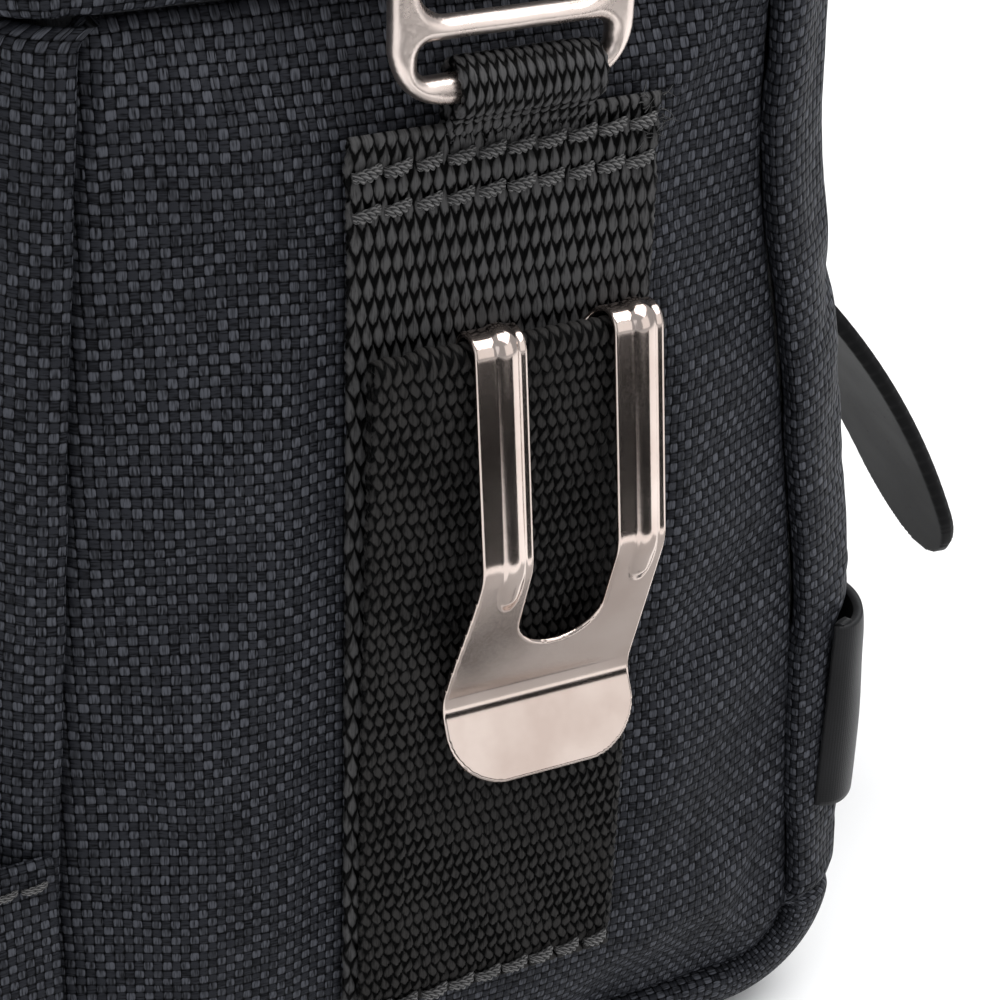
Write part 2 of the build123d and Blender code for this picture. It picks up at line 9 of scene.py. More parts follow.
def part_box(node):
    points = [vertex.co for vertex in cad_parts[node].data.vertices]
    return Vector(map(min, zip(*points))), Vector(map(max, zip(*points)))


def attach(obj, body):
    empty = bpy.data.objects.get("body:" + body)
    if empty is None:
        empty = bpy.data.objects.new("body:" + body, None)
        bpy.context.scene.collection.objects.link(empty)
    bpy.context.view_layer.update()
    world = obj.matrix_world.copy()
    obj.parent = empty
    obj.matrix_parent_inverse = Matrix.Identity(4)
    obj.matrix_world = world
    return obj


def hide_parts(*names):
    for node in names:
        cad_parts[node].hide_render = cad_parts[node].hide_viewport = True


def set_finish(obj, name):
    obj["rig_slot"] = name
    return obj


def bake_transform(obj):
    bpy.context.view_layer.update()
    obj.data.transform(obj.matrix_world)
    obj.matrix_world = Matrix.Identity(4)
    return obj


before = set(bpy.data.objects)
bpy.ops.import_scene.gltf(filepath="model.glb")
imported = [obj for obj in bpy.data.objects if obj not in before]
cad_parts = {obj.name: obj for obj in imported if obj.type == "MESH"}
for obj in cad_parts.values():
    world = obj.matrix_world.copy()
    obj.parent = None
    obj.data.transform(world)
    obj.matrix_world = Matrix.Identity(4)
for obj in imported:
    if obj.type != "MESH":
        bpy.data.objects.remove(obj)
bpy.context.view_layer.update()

MM = 0.001
PI = math.pi


def mm_box(node):
    """A CAD node's lowest and highest corners, in millimetres."""
    low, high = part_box(node)
    return np.array(low) / MM, np.array(high) / MM


# ------------------------------------------------------------------ sizes, from the frame
FRONT_LOW, FRONT_HIGH = mm_box("front_panel")
BACK_HIGH = mm_box("back_panel")[1]
COLLAR_LOW, COLLAR_HIGH = mm_box("mouth_collar")
STRAP_LOW, STRAP_HIGH = mm_box("strap_right")
FLAP_LOW, FLAP_HIGH = mm_box("tape_flap")
POCKET_LOW, POCKET_HIGH = mm_box("front_pocket")
BAND_LOW, BAND_HIGH = mm_box("back_band")
LOOP_LOW, LOOP_HIGH = mm_box("ring_loop_right")
RING_LOW, RING_HIGH = mm_box("ring_right")
DIVIDER_LOW, DIVIDER_HIGH = mm_box("divider")
ELASTIC_LOW, ELASTIC_HIGH = mm_box("tool_loops")
CLIP_LOW, CLIP_HIGH = mm_box("tape_clip_front")
CLIP_LEG_LOW, CLIP_LEG_HIGH = mm_box("tape_clip_leg")
LEG_LOW, LEG_HIGH = mm_box("belt_clip_leg")
LINING_HIGH = mm_box("lining")[1]

HALF_WIDTH = FRONT_HIGH[0]
BODY_TOP = FRONT_HIGH[2]
CORNER = FRONT_LOW[2]  # radius of the bottom corners in the side view
WRAP = 9.0  # radius of the walls' long edges, and their width on the side
COLLAR_OUT = 1.0  # how far the collar overhangs the walls
FRONT_TOP_Y = COLLAR_LOW[1] + COLLAR_OUT
BACK_TOP_Y = COLLAR_HIGH[1] - COLLAR_OUT
FRONT_SLOPE = (FRONT_TOP_Y - FRONT_LOW[1]) / (BODY_TOP - CORNER)
BACK_SLOPE = (BACK_HIGH[1] - BACK_TOP_Y) / (BODY_TOP - CORNER)
BACK_TILT = math.atan(BACK_SLOPE)
CROWN_X = mm_box("gusset_right")[1][0]
WALL_STEP = 1.6  # spacing of the points on the walls' outline

rng = np.random.default_rng(11)


# ------------------------------------------------------------------ mesh helpers
def smooth_step(t):
    t = np.clip(t, 0.0, 1.0)
    return t * t * (3 - 2 * t)


def between(value, low, high, soft=6.0):
    """1 inside a range, falling to 0 at its ends."""
    return smooth_step((value - low) / soft) * smooth_step((high - value) / soft)


def squared(wave, power):
    """A sine or cosine pushed towards its ends, which makes a round section squarer."""
    return np.sign(wave) * np.abs(wave) ** power


def groove(distance, width):
    """A narrow dip, 1 deep along a line."""
    return np.exp(-((distance / width) ** 2))


def ripple(a, b, scale, seed, waves=9):
    """Smooth seeded noise over a surface, about -1 to 1, with bumps roughly scale mm across."""
    source = np.random.default_rng(seed)
    total = np.zeros(np.broadcast(a, b).shape)
    for _ in range(waves):
        turn = source.uniform(0, 2 * PI)
        pitch = 2 * PI / scale * source.uniform(0.5, 1.5)
        phase = source.uniform(0, 2 * PI)
        total += np.sin(pitch * (a * math.cos(turn) + b * math.sin(turn)) + phase)
    return total / math.sqrt(waves) / 1.4


def arc_length(line):
    """Length along a line of points, from its first point."""
    return np.concatenate([[0.0], np.cumsum(np.linalg.norm(np.diff(line, axis=0), axis=1))])


def pairs(u, v):
    """Two grids of numbers as rows of two."""
    return np.stack([u, v], -1).reshape(-1, 2)


def new_piece(name, points, faces, body, material, slot, uv):
    """A smooth-shaded mesh piece, from points in millimetres. uv is each point's place on its cloth."""
    mesh = bpy.data.meshes.new(name)
    points = np.asarray(points, float).reshape(-1, 3) * MM
    mesh.from_pydata(points.tolist(), [], [list(map(int, f)) for f in faces])
    layer = mesh.uv_layers.new(name="weave")
    corner = np.empty(len(mesh.loops), dtype=np.int32)
    mesh.loops.foreach_get("vertex_index", corner)
    layer.data.foreach_set("uv", np.asarray(uv, np.float32)[corner].ravel())
    mesh.materials.append(material)
    mesh.shade_smooth()
    piece = bpy.data.objects.new(name, mesh)
    bpy.context.scene.collection.objects.link(piece)
    if body:
        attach(piece, body)
    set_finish(piece, slot)
    return piece


def grid_faces(rows, cols, wrap=False):
    """Quads between a grid's rows; wrap joins the last column to the first."""
    last = cols if wrap else cols - 1
    r, c = np.meshgrid(np.arange(rows - 1), np.arange(last), indexing="ij")
    right = (c + 1) % cols
    quads = np.stack([r * cols + c, r * cols + right, (r + 1) * cols + right, (r + 1) * cols + c], -1)
    return quads.reshape(-1, 4)


def tube_faces(rows, cols):
    """The faces of a tube whose rows are its rings, with a cap at each end."""
    faces = grid_faces(rows, cols, wrap=True).tolist()
    return faces + [list(range(cols))[::-1], list(range((rows - 1) * cols, rows * cols))]


def modify(piece, kind, **settings):
    """Runs a modifier and keeps its result as the piece's mesh."""
    modifier = piece.modifiers.new(kind.lower(), kind)
    for key, value in settings.items():
        setattr(modifier, key, value)
    depsgraph = bpy.context.evaluated_depsgraph_get()
    mesh = bpy.data.meshes.new_from_object(piece.evaluated_get(depsgraph), depsgraph=depsgraph)
    piece.modifiers.clear()
    piece.data = mesh
    mesh.shade_smooth()


def thicken(piece, thickness, offset=-1.0):
    """Gives a sheet its real thickness."""
    modify(piece, "SOLIDIFY", thickness=thickness * MM, offset=offset, use_even_offset=False)


def subdivide(piece):
    modify(piece, "SUBSURF", levels=1, render_levels=1, boundary_smooth="PRESERVE_CORNERS")


def flip(faces):
    return [tuple(reversed(f)) for f in faces]


def inflate(piece, pinned, reach, pressure=4.0, slack=0.02, frames=20):
    """Fills a sewn panel by cloth simulation, with its seams pinned, and applies the result.
    reach holds how far each point may move, in millimetres."""
    mesh = piece.data
    start = np.empty(len(mesh.vertices) * 3)
    mesh.vertices.foreach_get("co", start)
    start = start.reshape(-1, 3)
    seam = piece.vertex_groups.new(name="seam")
    seam.add([int(i) for i in np.flatnonzero(pinned)], 1.0, "REPLACE")
    modifier = piece.modifiers.new("filling", "CLOTH")
    cloth = modifier.settings
    for key, value in {
        "quality": 6, "mass": 0.25, "tension_stiffness": 20.0, "compression_stiffness": 20.0,
        "shear_stiffness": 6.0, "bending_stiffness": 0.4, "shrink_min": -slack, "use_pressure": True,
        "uniform_pressure_force": pressure, "vertex_group_mass": "seam",
    }.items():
        setattr(cloth, key, value)
    cloth.effector_weights.gravity = 0.0
    modifier.collision_settings.use_collision = False
    modifier.point_cache.frame_start = 1
    modifier.point_cache.frame_end = frames
    scene = bpy.context.scene
    for frame_number in range(1, frames + 1):
        scene.frame_set(frame_number)
    depsgraph = bpy.context.evaluated_depsgraph_get()
    filled = np.empty(start.size)
    piece.evaluated_get(depsgraph).data.vertices.foreach_get("co", filled)
    move = (filled.reshape(-1, 3) - start) / MM
    size = np.linalg.norm(move, axis=1)
    limit = np.where(pinned, 0.0, np.broadcast_to(reach, size.shape))
    move *= (limit * np.tanh(size / np.maximum(limit, 1e-6)) / np.maximum(size, 1e-6))[:, None]
    piece.modifiers.remove(modifier)
    piece.vertex_groups.remove(seam)
    mesh.vertices.foreach_set("co", (start + move * MM).ravel())
    mesh.update()
    scene.frame_set(1)


def mirrored(piece, name, body, node=None):
    """A copy of a piece on the pouch's other side, which stands for a node of its own."""
    mesh = piece.data.copy()
    mesh.transform(Matrix.Scale(-1, 4, (1, 0, 0)))
    mesh.flip_normals()
    copy = bpy.data.objects.new(name, mesh)
    bpy.context.scene.collection.objects.link(copy)
    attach(copy, body)
    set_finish(copy, piece["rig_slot"])
    if node:
        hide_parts(node)
    return copy


def join(parts):
    """Several meshes, each as its points, faces and uv, as one."""
    points, faces, uvs = [], [], []
    start = 0
    for part_points, part_faces, part_uv in parts:
        points.append(part_points)
        faces.extend([[corner + start for corner in face] for face in part_faces])
        uvs.append(part_uv)
        start += len(part_points)
    return np.concatenate(points), faces, np.concatenate(uvs)


# ------------------------------------------------------------------ material helpers
class Term:
    """A socket that can be used in sums, products and comparisons."""

    def __init__(self, graph, socket):
        self.graph = graph
        self.socket = socket


def term_method(operation, swap=False):
    """A method of Term that makes a math node."""

    def method(self, *others):
        values = (*others, self) if swap else (self, *others)
        return self.graph.math(operation, *values)

    return method


for method_name, math_node in {
    "__add__": "ADD", "__radd__": "ADD", "__sub__": "SUBTRACT", "__mul__": "MULTIPLY", "__rmul__": "MULTIPLY",
    "__truediv__": "DIVIDE", "__gt__": "GREATER_THAN", "__lt__": "LESS_THAN", "floor": "FLOOR",
    "fract": "FRACT", "abs": "ABSOLUTE", "cos": "COSINE", "sin": "SINE", "sqrt": "SQRT", "power": "POWER",
    "maximum": "MAXIMUM",
}.items():
    setattr(Term, method_name, term_method(math_node))
Term.__rsub__ = term_method("SUBTRACT", swap=True)


class Graph:
    """One material's nodes, ending in a Principled shader."""

    def __init__(self, name, colour, roughness, **settings):
        self.material = bpy.data.materials.new(name)
        self.material.use_nodes = True
        self.tree = self.material.node_tree
        self.shader = self.tree.nodes["Principled BSDF"]
        self.shader.inputs["Base Color"].default_value = (*colour, 1.0)
        self.shader.inputs["Roughness"].default_value = roughness
        for key, value in settings.items():
            socket = self.shader.inputs[key.replace("_", " ").title().replace("Ior", "IOR")]
            socket.default_value = (*value, 1.0) if isinstance(value, tuple) else value
        self.material.diffuse_color = (*colour, 1.0)

    def node(self, kind, **settings):
        made = self.tree.nodes.new(kind)
        for key, value in settings.items():
            setattr(made, key, value)
        return made

    def link(self, value, socket):
        if isinstance(value, Term):
            self.tree.links.new(value.socket, socket)
        elif value is not None:
            socket.default_value = value

    def math(self, operation, *values):
        made = self.node("ShaderNodeMath", operation=operation)
        for value, socket in zip(values, made.inputs):
            self.link(value, socket)
        return Term(self, made.outputs[0])

    def weave_coordinates(self):
        """The piece's own coordinates along and across its cloth, in millimetres."""
        split = self.node("ShaderNodeSeparateXYZ")
        self.tree.links.new(self.node("ShaderNodeUVMap", uv_map="weave").outputs[0], split.inputs[0])
        return Term(self, split.outputs[0]), Term(self, split.outputs[1])

    def vector(self, x, y, z=0.0):
        made = self.node("ShaderNodeCombineXYZ")
        for value, socket in zip((x, y, z), made.inputs):
            self.link(value, socket)
        return Term(self, made.outputs[0])

    def object_position(self, scale=1.0):
        """Position on the object in millimetres over scale."""
        made = self.node("ShaderNodeMapping", vector_type="POINT")
        made.inputs["Scale"].default_value = (1 / MM / scale,) * 3
        self.tree.links.new(self.node("ShaderNodeTexCoord").outputs["Object"], made.inputs[0])
        return Term(self, made.outputs[0])

    def noise(self, vector, scale=1.0, detail=2.0, roughness=0.5):
        made = self.node("ShaderNodeTexNoise")
        made.inputs["Scale"].default_value = scale
        made.inputs["Detail"].default_value = detail
        made.inputs["Roughness"].default_value = roughness
        self.link(vector, made.inputs["Vector"])
        return Term(self, made.outputs["Fac"])

    def white_noise(self, x, y):
        """A random number for each pair of whole numbers."""
        made = self.node("ShaderNodeTexWhiteNoise", noise_dimensions="2D")
        self.link(self.vector(x + 0.5, y + 0.5), made.inputs["Vector"])
        return Term(self, made.outputs["Value"])

    def blend(self, factor, low, high):
        """A colour between two, each a colour or an earlier blend."""
        made = self.node("ShaderNodeMix", data_type="RGBA")
        self.link(factor, made.inputs[0])
        for value, socket in ((low, made.inputs[6]), (high, made.inputs[7])):
            if isinstance(value, Term):
                self.link(value, socket)
            else:
                socket.default_value = (*value, 1.0)
        return Term(self, made.outputs[2])

    def ramp(self, value, low, high, out_low=0.0, out_high=1.0):
        made = self.node("ShaderNodeMapRange")
        self.link(value, made.inputs[0])
        for index, number in enumerate((low, high, out_low, out_high), 1):
            made.inputs[index].default_value = number
        return Term(self, made.outputs[0])

    def finished(self, colour, rough, height, depth_mm):
        """The material, with its relief: a height of 1 stands depth_mm proud."""
        self.link(colour, self.shader.inputs["Base Color"])
        self.link(rough, self.shader.inputs["Roughness"])
        bump = self.node("ShaderNodeBump")
        bump.inputs["Distance"].default_value = depth_mm * MM
        self.link(height, bump.inputs["Height"])
        self.tree.links.new(bump.outputs[0], self.shader.inputs["Normal"])
        return self.material


def plain_weave(graph, u, v, pitch_u, pitch_v, wobble=0.12):
    """Interlaced flat yarns. Gives the height, which yarn is on top, a random number for each crossing,
    and how far across its warp yarn a point is, from -1 to 1."""
    sway = graph.noise(graph.vector(u, v), scale=0.35, detail=1.0)
    a = u / pitch_u + (sway - 0.5) * wobble
    b = v / pitch_v + (sway - 0.5) * wobble
    across_warp = (a.fract() - 0.5) * 2.0
    across_weft = (b.fract() - 0.5) * 2.0
    warp_parity = (a.floor() * PI).cos()
    weft_parity = (b.floor() * PI).cos()
    # each yarn is round across, and dives under its neighbours along its length
    warp_round = (1.0 - across_warp.abs().power(3.2)).maximum(0.0).sqrt()
    weft_round = (1.0 - across_weft.abs().power(3.2)).maximum(0.0).sqrt()
    parity = weft_parity * warp_parity
    warp_wave = parity * (across_weft * (PI / 2)).cos().maximum(0.0).power(0.6)
    weft_wave = -1.0 * parity * (across_warp * (PI / 2)).cos().maximum(0.0).power(0.6)
    warp = warp_round * 0.55 + warp_wave * 0.5
    weft = weft_round * 0.55 + weft_wave * 0.5
    return warp.maximum(weft), warp > weft, graph.white_noise(a.floor(), b.floor()), across_warp


WARP_PITCH, WEFT_PITCH = 1.1, 1.3  # the nylon's yarns, in mm
FLOAT_REACH = 0.66  # half length of a webbing float, in rows
FLOAT_DROP = 0.28  # how far a float's widest part lies towards its lower end


# ------------------------------------------------------------------ materials
def ballistic_nylon(name):
    """Coarse plain-woven nylon: flat warp floats painted bright as highlights, dull weft ones painted as
    shade, and gaps painted black as shadow.
    """
    graph = Graph(
        name, (0.02, 0.021, 0.026), 0.5, sheen_weight=0.015, sheen_roughness=0.4,
        sheen_tint=(0.62, 0.68, 0.85), specular_ior_level=0.04,
    )
    u, v = graph.weave_coordinates()
    height, warp_on_top, chance, across_warp = plain_weave(graph, u, v, WARP_PITCH, WEFT_PITCH)
    warp_fibre = graph.noise(graph.vector(u * 4.5, v * 0.5), detail=1.0)
    weft_fibre = graph.noise(graph.vector(u * 0.5, v * 4.5), detail=1.0)
    fibre = warp_fibre * warp_on_top + weft_fibre * (1.0 - warp_on_top)
    patch = graph.noise(graph.object_position(26.0), detail=3.0)
    # painted shade: the low places between the yarns go nearly black
    shade = graph.ramp(height, 0.54, 0.87) * (fibre * 4.0 - 1.0).maximum(0.05) * (0.6 + patch * 0.8)
    # painted highlight: each warp float lighter towards its sides, more on one side
    painted_float_rim_light = 0.5 + across_warp * across_warp * 0.75 - across_warp * 0.12
    shade = shade * (0.55 + chance * 0.9) * (painted_float_rim_light * warp_on_top + (1.0 - warp_on_top))
    # painted highlight: the warp floats take a much lighter tone than the weft floats
    lit = graph.blend(warp_on_top, (0.0205, 0.0216, 0.0262), (0.0715, 0.0748, 0.0875))
    colour = graph.blend(shade, (0.0005, 0.0005, 0.0008), lit)
    return graph.finished(colour, 0.6 - fibre * 0.25, height + fibre * 0.16, 0.42)


def webbing_height(u, v, pitch, row, lean):
    """Drop-shaped floats in staggered rows, whose points reach between their neighbours'.
    Where lean isn't 0, the rows lean to one side and the other by turns."""
    best = None
    for shift, tilt in ((0.0, lean), (0.5, -lean)):
        along = ((v / (2 * row) + shift).fract() - 0.5) * (2 / FLOAT_REACH)
        across = ((u / pitch + shift + along * tilt).fract() - 0.5) * 2.0
        taper = along - (1.0 - along * along) * FLOAT_DROP
        slim = (1.0 - taper.abs().power(1.6)).maximum(0.02)
        ratio = across / slim
        dome = (1.0 - ratio * ratio).maximum(0.0).sqrt() * (1.0 - taper * taper * 0.5).maximum(0.0)
        best = dome if best is None else best.maximum(dome)
    return best


def webbing_cloth(name, tone, pitch, row, lean=0.0, relief=0.3):
    """Heavy polyester webbing, with painted shade in the gaps between its floats and painted light on their
    tops.
    """
    graph = Graph(name, tone, 0.5, sheen_weight=0.01, sheen_roughness=0.4, specular_ior_level=0.06)
    u, v = graph.weave_coordinates()
    sway = (graph.noise(graph.vector(u, v), scale=0.22, detail=1.0) - 0.5) * 0.5
    height = webbing_height(u + sway, v + sway, pitch, row, lean)
    fibre = graph.noise(graph.vector(u * 4.0, v * 0.5), detail=2.0)
    fuzz = graph.noise(graph.object_position(0.5), detail=2.0)
    patch = graph.noise(graph.object_position(14.0), detail=2.0)
    # painted shade: the gaps go nearly black (deep), and the floats' tops are painted lit, 2.5 times the tone
    shade = graph.ramp(height, 0.3, 0.92) * (fibre * 3.0 - 0.5).maximum(0.05) * (0.5 + patch)
    deep = tuple(channel * 0.01 for channel in tone)
    lit = tuple(channel * 2.5 for channel in tone)
    colour = graph.blend(shade, deep, lit)
    return graph.finished(colour, 0.62 - fibre * 0.25, height + fibre * 0.2 + fuzz * 0.12, relief)


def thread_cloth():
    """Bonded thread, with highlights and shade painted in stripes along its strands."""
    graph = Graph("topstitch_thread", (0.04, 0.04, 0.041), 0.45, sheen_weight=0.05, specular_ior_level=0.35)
    u, v = graph.weave_coordinates()
    strands = (v * 5.0 + u * 5.0).sin()
    patch = graph.noise(graph.object_position(3.0), detail=2.0)
    # painted highlight and shade: stripes along the strands, from dark to light
    shade = graph.ramp(strands, -1.0, 1.0) * (0.5 + patch)
    colour = graph.blend(shade, (0.02, 0.02, 0.0205), (0.17, 0.166, 0.165))
    return graph.finished(colour, 0.5 - patch * 0.15, strands, 0.06)


def nickel(name, roughness, wear, relief, dull, bright):
    """Polished warm nickel with faint scuffs and a slightly uneven plate."""
    graph = Graph(name, (0.70, 0.585, 0.53), roughness, metallic=1.0)
    place = graph.object_position(1.0)
    cloudy = graph.noise(place, scale=0.12, detail=3.0)
    grain = graph.noise(place, scale=3.2, detail=3.0, roughness=0.7)
    colour = graph.blend(graph.ramp(cloudy, 0.3, 0.75), dull, bright)
    worn = roughness + graph.ramp(grain, 0.45, 0.8) * wear + cloudy * wear * 0.5
    return graph.finished(colour, worn, grain * 0.6 + cloudy * 2.0, relief)


def black_steel():
    """Matt black coated spring steel."""
    graph = Graph("black_spring_steel", (0.004, 0.004, 0.0044), 0.5, specular_ior_level=0.04)
    place = graph.object_position(1.0)
    cloudy = graph.noise(place, scale=0.09, detail=3.0)
    grain = graph.noise(place, scale=5.0, detail=2.0)
    scuff = graph.ramp(graph.noise(place, scale=0.8, detail=5.0, roughness=0.75), 0.63, 0.72)
    colour = graph.blend(scuff * 0.25, (0.004, 0.004, 0.0044), (0.03, 0.029, 0.028))
    return graph.finished(colour, 0.42 + cloudy * 0.14 + scuff * 0.2, grain * 0.5 + cloudy, 0.01)


def coated_band():
    """Smooth coated cloth with a very fine texture."""
    graph = Graph("coated_band_cloth", (0.008, 0.008, 0.009), 0.5, sheen_weight=0.03, specular_ior_level=0.2)
    u, v = graph.weave_coordinates()
    height, _, _, _ = plain_weave(graph, u, v, 0.42, 0.42, 0.05)
    cloudy = graph.noise(graph.object_position(9.0), detail=3.0)
    # painted shade: darker in the weave's low places, and in random clouds
    shade = cloudy * graph.ramp(height, 0.0, 0.9)
    colour = graph.blend(shade, (0.004, 0.004, 0.0045), (0.016, 0.0162, 0.018))
    return graph.finished(colour, 0.36 + cloudy * 0.2, height * 0.6 + cloudy, 0.05)


def lining_cloth():
    """Light grey-black packcloth with a fine ripstop grid."""
    graph = Graph("lining_packcloth", (0.035, 0.036, 0.04), 0.6, sheen_weight=0.3, specular_ior_level=0.35)
    u, v = graph.weave_coordinates()
    height, _, _, _ = plain_weave(graph, u, v, 0.5, 0.5, 0.08)
    grid = ((u / 5.0).fract() < 0.09).maximum((v / 5.0).fract() < 0.09)
    patch = graph.noise(graph.object_position(22.0), detail=3.0)
    # painted shade: darker in the weave's low places, with random patches
    shade = graph.ramp(height, 0.0, 0.9) * (0.7 + patch * 0.6)
    cloth = graph.blend(shade, (0.008, 0.0083, 0.0095), (0.05, 0.0515, 0.057))
    colour = graph.blend(grid * 0.5, cloth, (0.075, 0.077, 0.084))
    return graph.finished(colour, 0.66 - patch * 0.15, height + grid * 0.7, 0.09)


def elastic_cloth():
    """Ribbed elastic for the tool loops."""
    graph = Graph("loop_elastic", (0.02, 0.02, 0.022), 0.65, sheen_weight=0.35, specular_ior_level=0.35)
    u, v = graph.weave_coordinates()
    rib = (v * (2 * PI / 1.5)).cos() * 0.5 + 0.5
    knit = (u * (2 * PI / 0.9) + rib * 1.5).cos() * 0.5 + 0.5
    patch = graph.noise(graph.object_position(6.0), detail=2.0)
    # painted shade: darker between the ribs and the knit's loops
    shade = rib * (0.5 + knit * 0.5) * (0.6 + patch)
    colour = graph.blend(shade, (0.004, 0.004, 0.0045), (0.034, 0.0345, 0.038))
    return graph.finished(colour, 0.7 - patch * 0.1, rib + knit * 0.4, 0.18)


def stiffener_plastic():
    """Grey polyethylene sheet for the hidden boards."""
    graph = Graph("board_plastic", (0.05, 0.05, 0.052), 0.45)
    place = graph.object_position(1.0)
    cloudy = graph.noise(place, scale=0.08, detail=3.0)
    colour = graph.blend(cloudy, (0.035, 0.035, 0.037), (0.075, 0.075, 0.078))
    return graph.finished(colour, 0.4 + cloudy * 0.2, graph.noise(place, scale=1.5, detail=3.0), 0.02)


NYLON = ballistic_nylon("ballistic_nylon")
# each webbing's float spacing and row height in mm, and how far its rows lean
WIDE_WEAVE = {"pitch": 1.4, "row": 2.9, "lean": 0.0}
FLAP_WEAVE = {"pitch": 1.35, "row": 1.9, "lean": 0.22}
NARROW_WEAVE = {"pitch": 1.15, "row": 2.0, "lean": 0.0}
WIDE_WEBBING = webbing_cloth("wide_webbing", (0.026, 0.0255, 0.0257), **WIDE_WEAVE)
# the flap's tone is darker than the other webbings' as painted shade, for the shadow between the clip's arms
FLAP_WEBBING = webbing_cloth("flap_webbing", (0.0118, 0.0112, 0.0109), **FLAP_WEAVE)
NARROW_WEBBING = webbing_cloth("narrow_webbing", (0.028, 0.0275, 0.028), **NARROW_WEAVE)
THREAD = thread_cloth()
CLIP_NICKEL = nickel("clip_nickel", 0.12, 0.06, 0.006, (0.62, 0.51, 0.455), (0.77, 0.66, 0.60))
RING_NICKEL = nickel("ring_nickel", 0.24, 0.14, 0.012, (0.74, 0.63, 0.575), (0.9, 0.79, 0.73))
BLACK_STEEL = black_steel()
BAND_CLOTH = coated_band()
LINING_CLOTH = lining_cloth()
ELASTIC = elastic_cloth()
BOARD_PLASTIC = stiffener_plastic()


# ------------------------------------------------------------------ the pouch's outline
def back_sway(z):
    """The back isn't straight: a slight waist near its top and a belly lower down."""
    return 1.2 * groove(z - 72.0, 24.0) - 2.6 * groove(z - 138.0, 22.0)


def wall_line(step=WALL_STEP):
    """Side view of the walls' outer face, from the front's top round the base to the back's top.
    Gives points (y, z), inward normals and the length along the line."""
    points, normals = [], []
    corner_count = int(CORNER * PI / 2 / step)

    def side(slope, top_y, sign):
        size = math.hypot(1.0, slope)
        normal = np.array([sign / size, -slope / size])
        foot_z = CORNER + CORNER * slope / size
        foot = np.array([top_y - sign * (BODY_TOP - foot_z) * slope, foot_z])
        return normal, np.array([top_y, BODY_TOP]), foot, foot + CORNER * normal

    def straight(begin, end, normal, extra=0):
        count = int(np.linalg.norm(end - begin) / step) + extra
        for t in np.linspace(0, 1, count, endpoint=bool(extra)):
            points.append(begin + (end - begin) * t)
            normals.append(normal)

    def arc(centre, begin, end):
        for angle in np.linspace(begin, end, corner_count, endpoint=False):
            ray = np.array([math.cos(angle), math.sin(angle)])
            points.append(centre + CORNER * ray)
            normals.append(-ray)

    normal, top, foot, centre = side(FRONT_SLOPE, FRONT_TOP_Y, 1)
    back_normal, back_top, back_foot, back_centre = side(BACK_SLOPE, BACK_TOP_Y, -1)
    straight(top, foot, normal)
    arc(centre, math.atan2(-normal[1], -normal[0]), 1.5 * PI)
    straight(centre * (1, 0), back_centre * (1, 0), np.array([0.0, 1.0]))
    arc(back_centre, -PI / 2, math.atan2(-back_normal[1], -back_normal[0]))
    straight(back_foot, back_top, back_normal, extra=1)
    points, normals = np.array(points), np.array(normals)
    on_back = points[:, 0] > 30.0
    points[on_back, 0] += back_sway(points[on_back, 1]) * smooth_step((points[on_back, 1] - 10) / 20)
    return points, normals, arc_length(points)


LINE, LINE_NORMAL, LINE_LENGTH = wall_line()


def split_near(z, on_back):
    """Index on the wall line where it crosses height z, on the front or the back."""
    side = LINE[:, 0] > 0 if on_back else LINE[:, 0] < 0
    gap = np.where(side, np.abs(LINE[:, 1] - z), 1e9)
    return int(np.argmin(gap))


FRONT_FOOT = split_near(CORNER, False)
BACK_FOOT = split_near(CORNER, True)


def off_line(line, normal, distance):
    """Points off a 2-D line, one row of distances for each of its points."""
    return line[:, None] + normal[:, None] * distance[..., None]


def pillow(distance, reach, power=2.3):
    """Padded profile: 0 at a seam, rising steeply to 1 at reach mm from it."""
    t = np.clip(distance / reach, 0.0, 1.0)
    return (1 - (1 - t) ** power) ** (1 / 1.55)


# ------------------------------------------------------------------ walls: front, base and back
END_TUCK = 1.6  # how far a wall's sewn end turns in
WALL_CLOTH = 1.4  # thickness of the walls' cloth


def rounded_half(flat, radius, flat_count, arc_count):
    """Half of a flat face and the round edge beside it: x, and depth below the face."""
    angles = np.linspace(0, PI / 2, arc_count)[1:]
    x = np.concatenate([np.linspace(0.0, flat, flat_count), flat + radius * np.sin(angles)])
    return x, np.concatenate([np.zeros(flat_count), radius * (1 - np.cos(angles))])


def both_halves(x, depth):
    """A cross section from its half: x, depth and the length along the cloth from its middle."""
    across = arc_length(np.column_stack([x, depth]))
    return (
        np.concatenate([-x[:0:-1], x]),
        np.concatenate([depth[:0:-1], depth]),
        np.concatenate([-across[:0:-1], across]),
    )


def wall_section():
    """The walls' cross section: across the face, round the long edges, into the seams."""
    x, depth = rounded_half(HALF_WIDTH - WRAP, WRAP, 22, 12)
    seam_x, seam_depth = np.transpose([(-0.25, 0.55), (-0.9, 0.95), (-1.9, 1.15), (-3.2, 1.2)])
    return both_halves(np.concatenate([x, HALF_WIDTH + seam_x]), np.concatenate([depth, WRAP + seam_depth]))


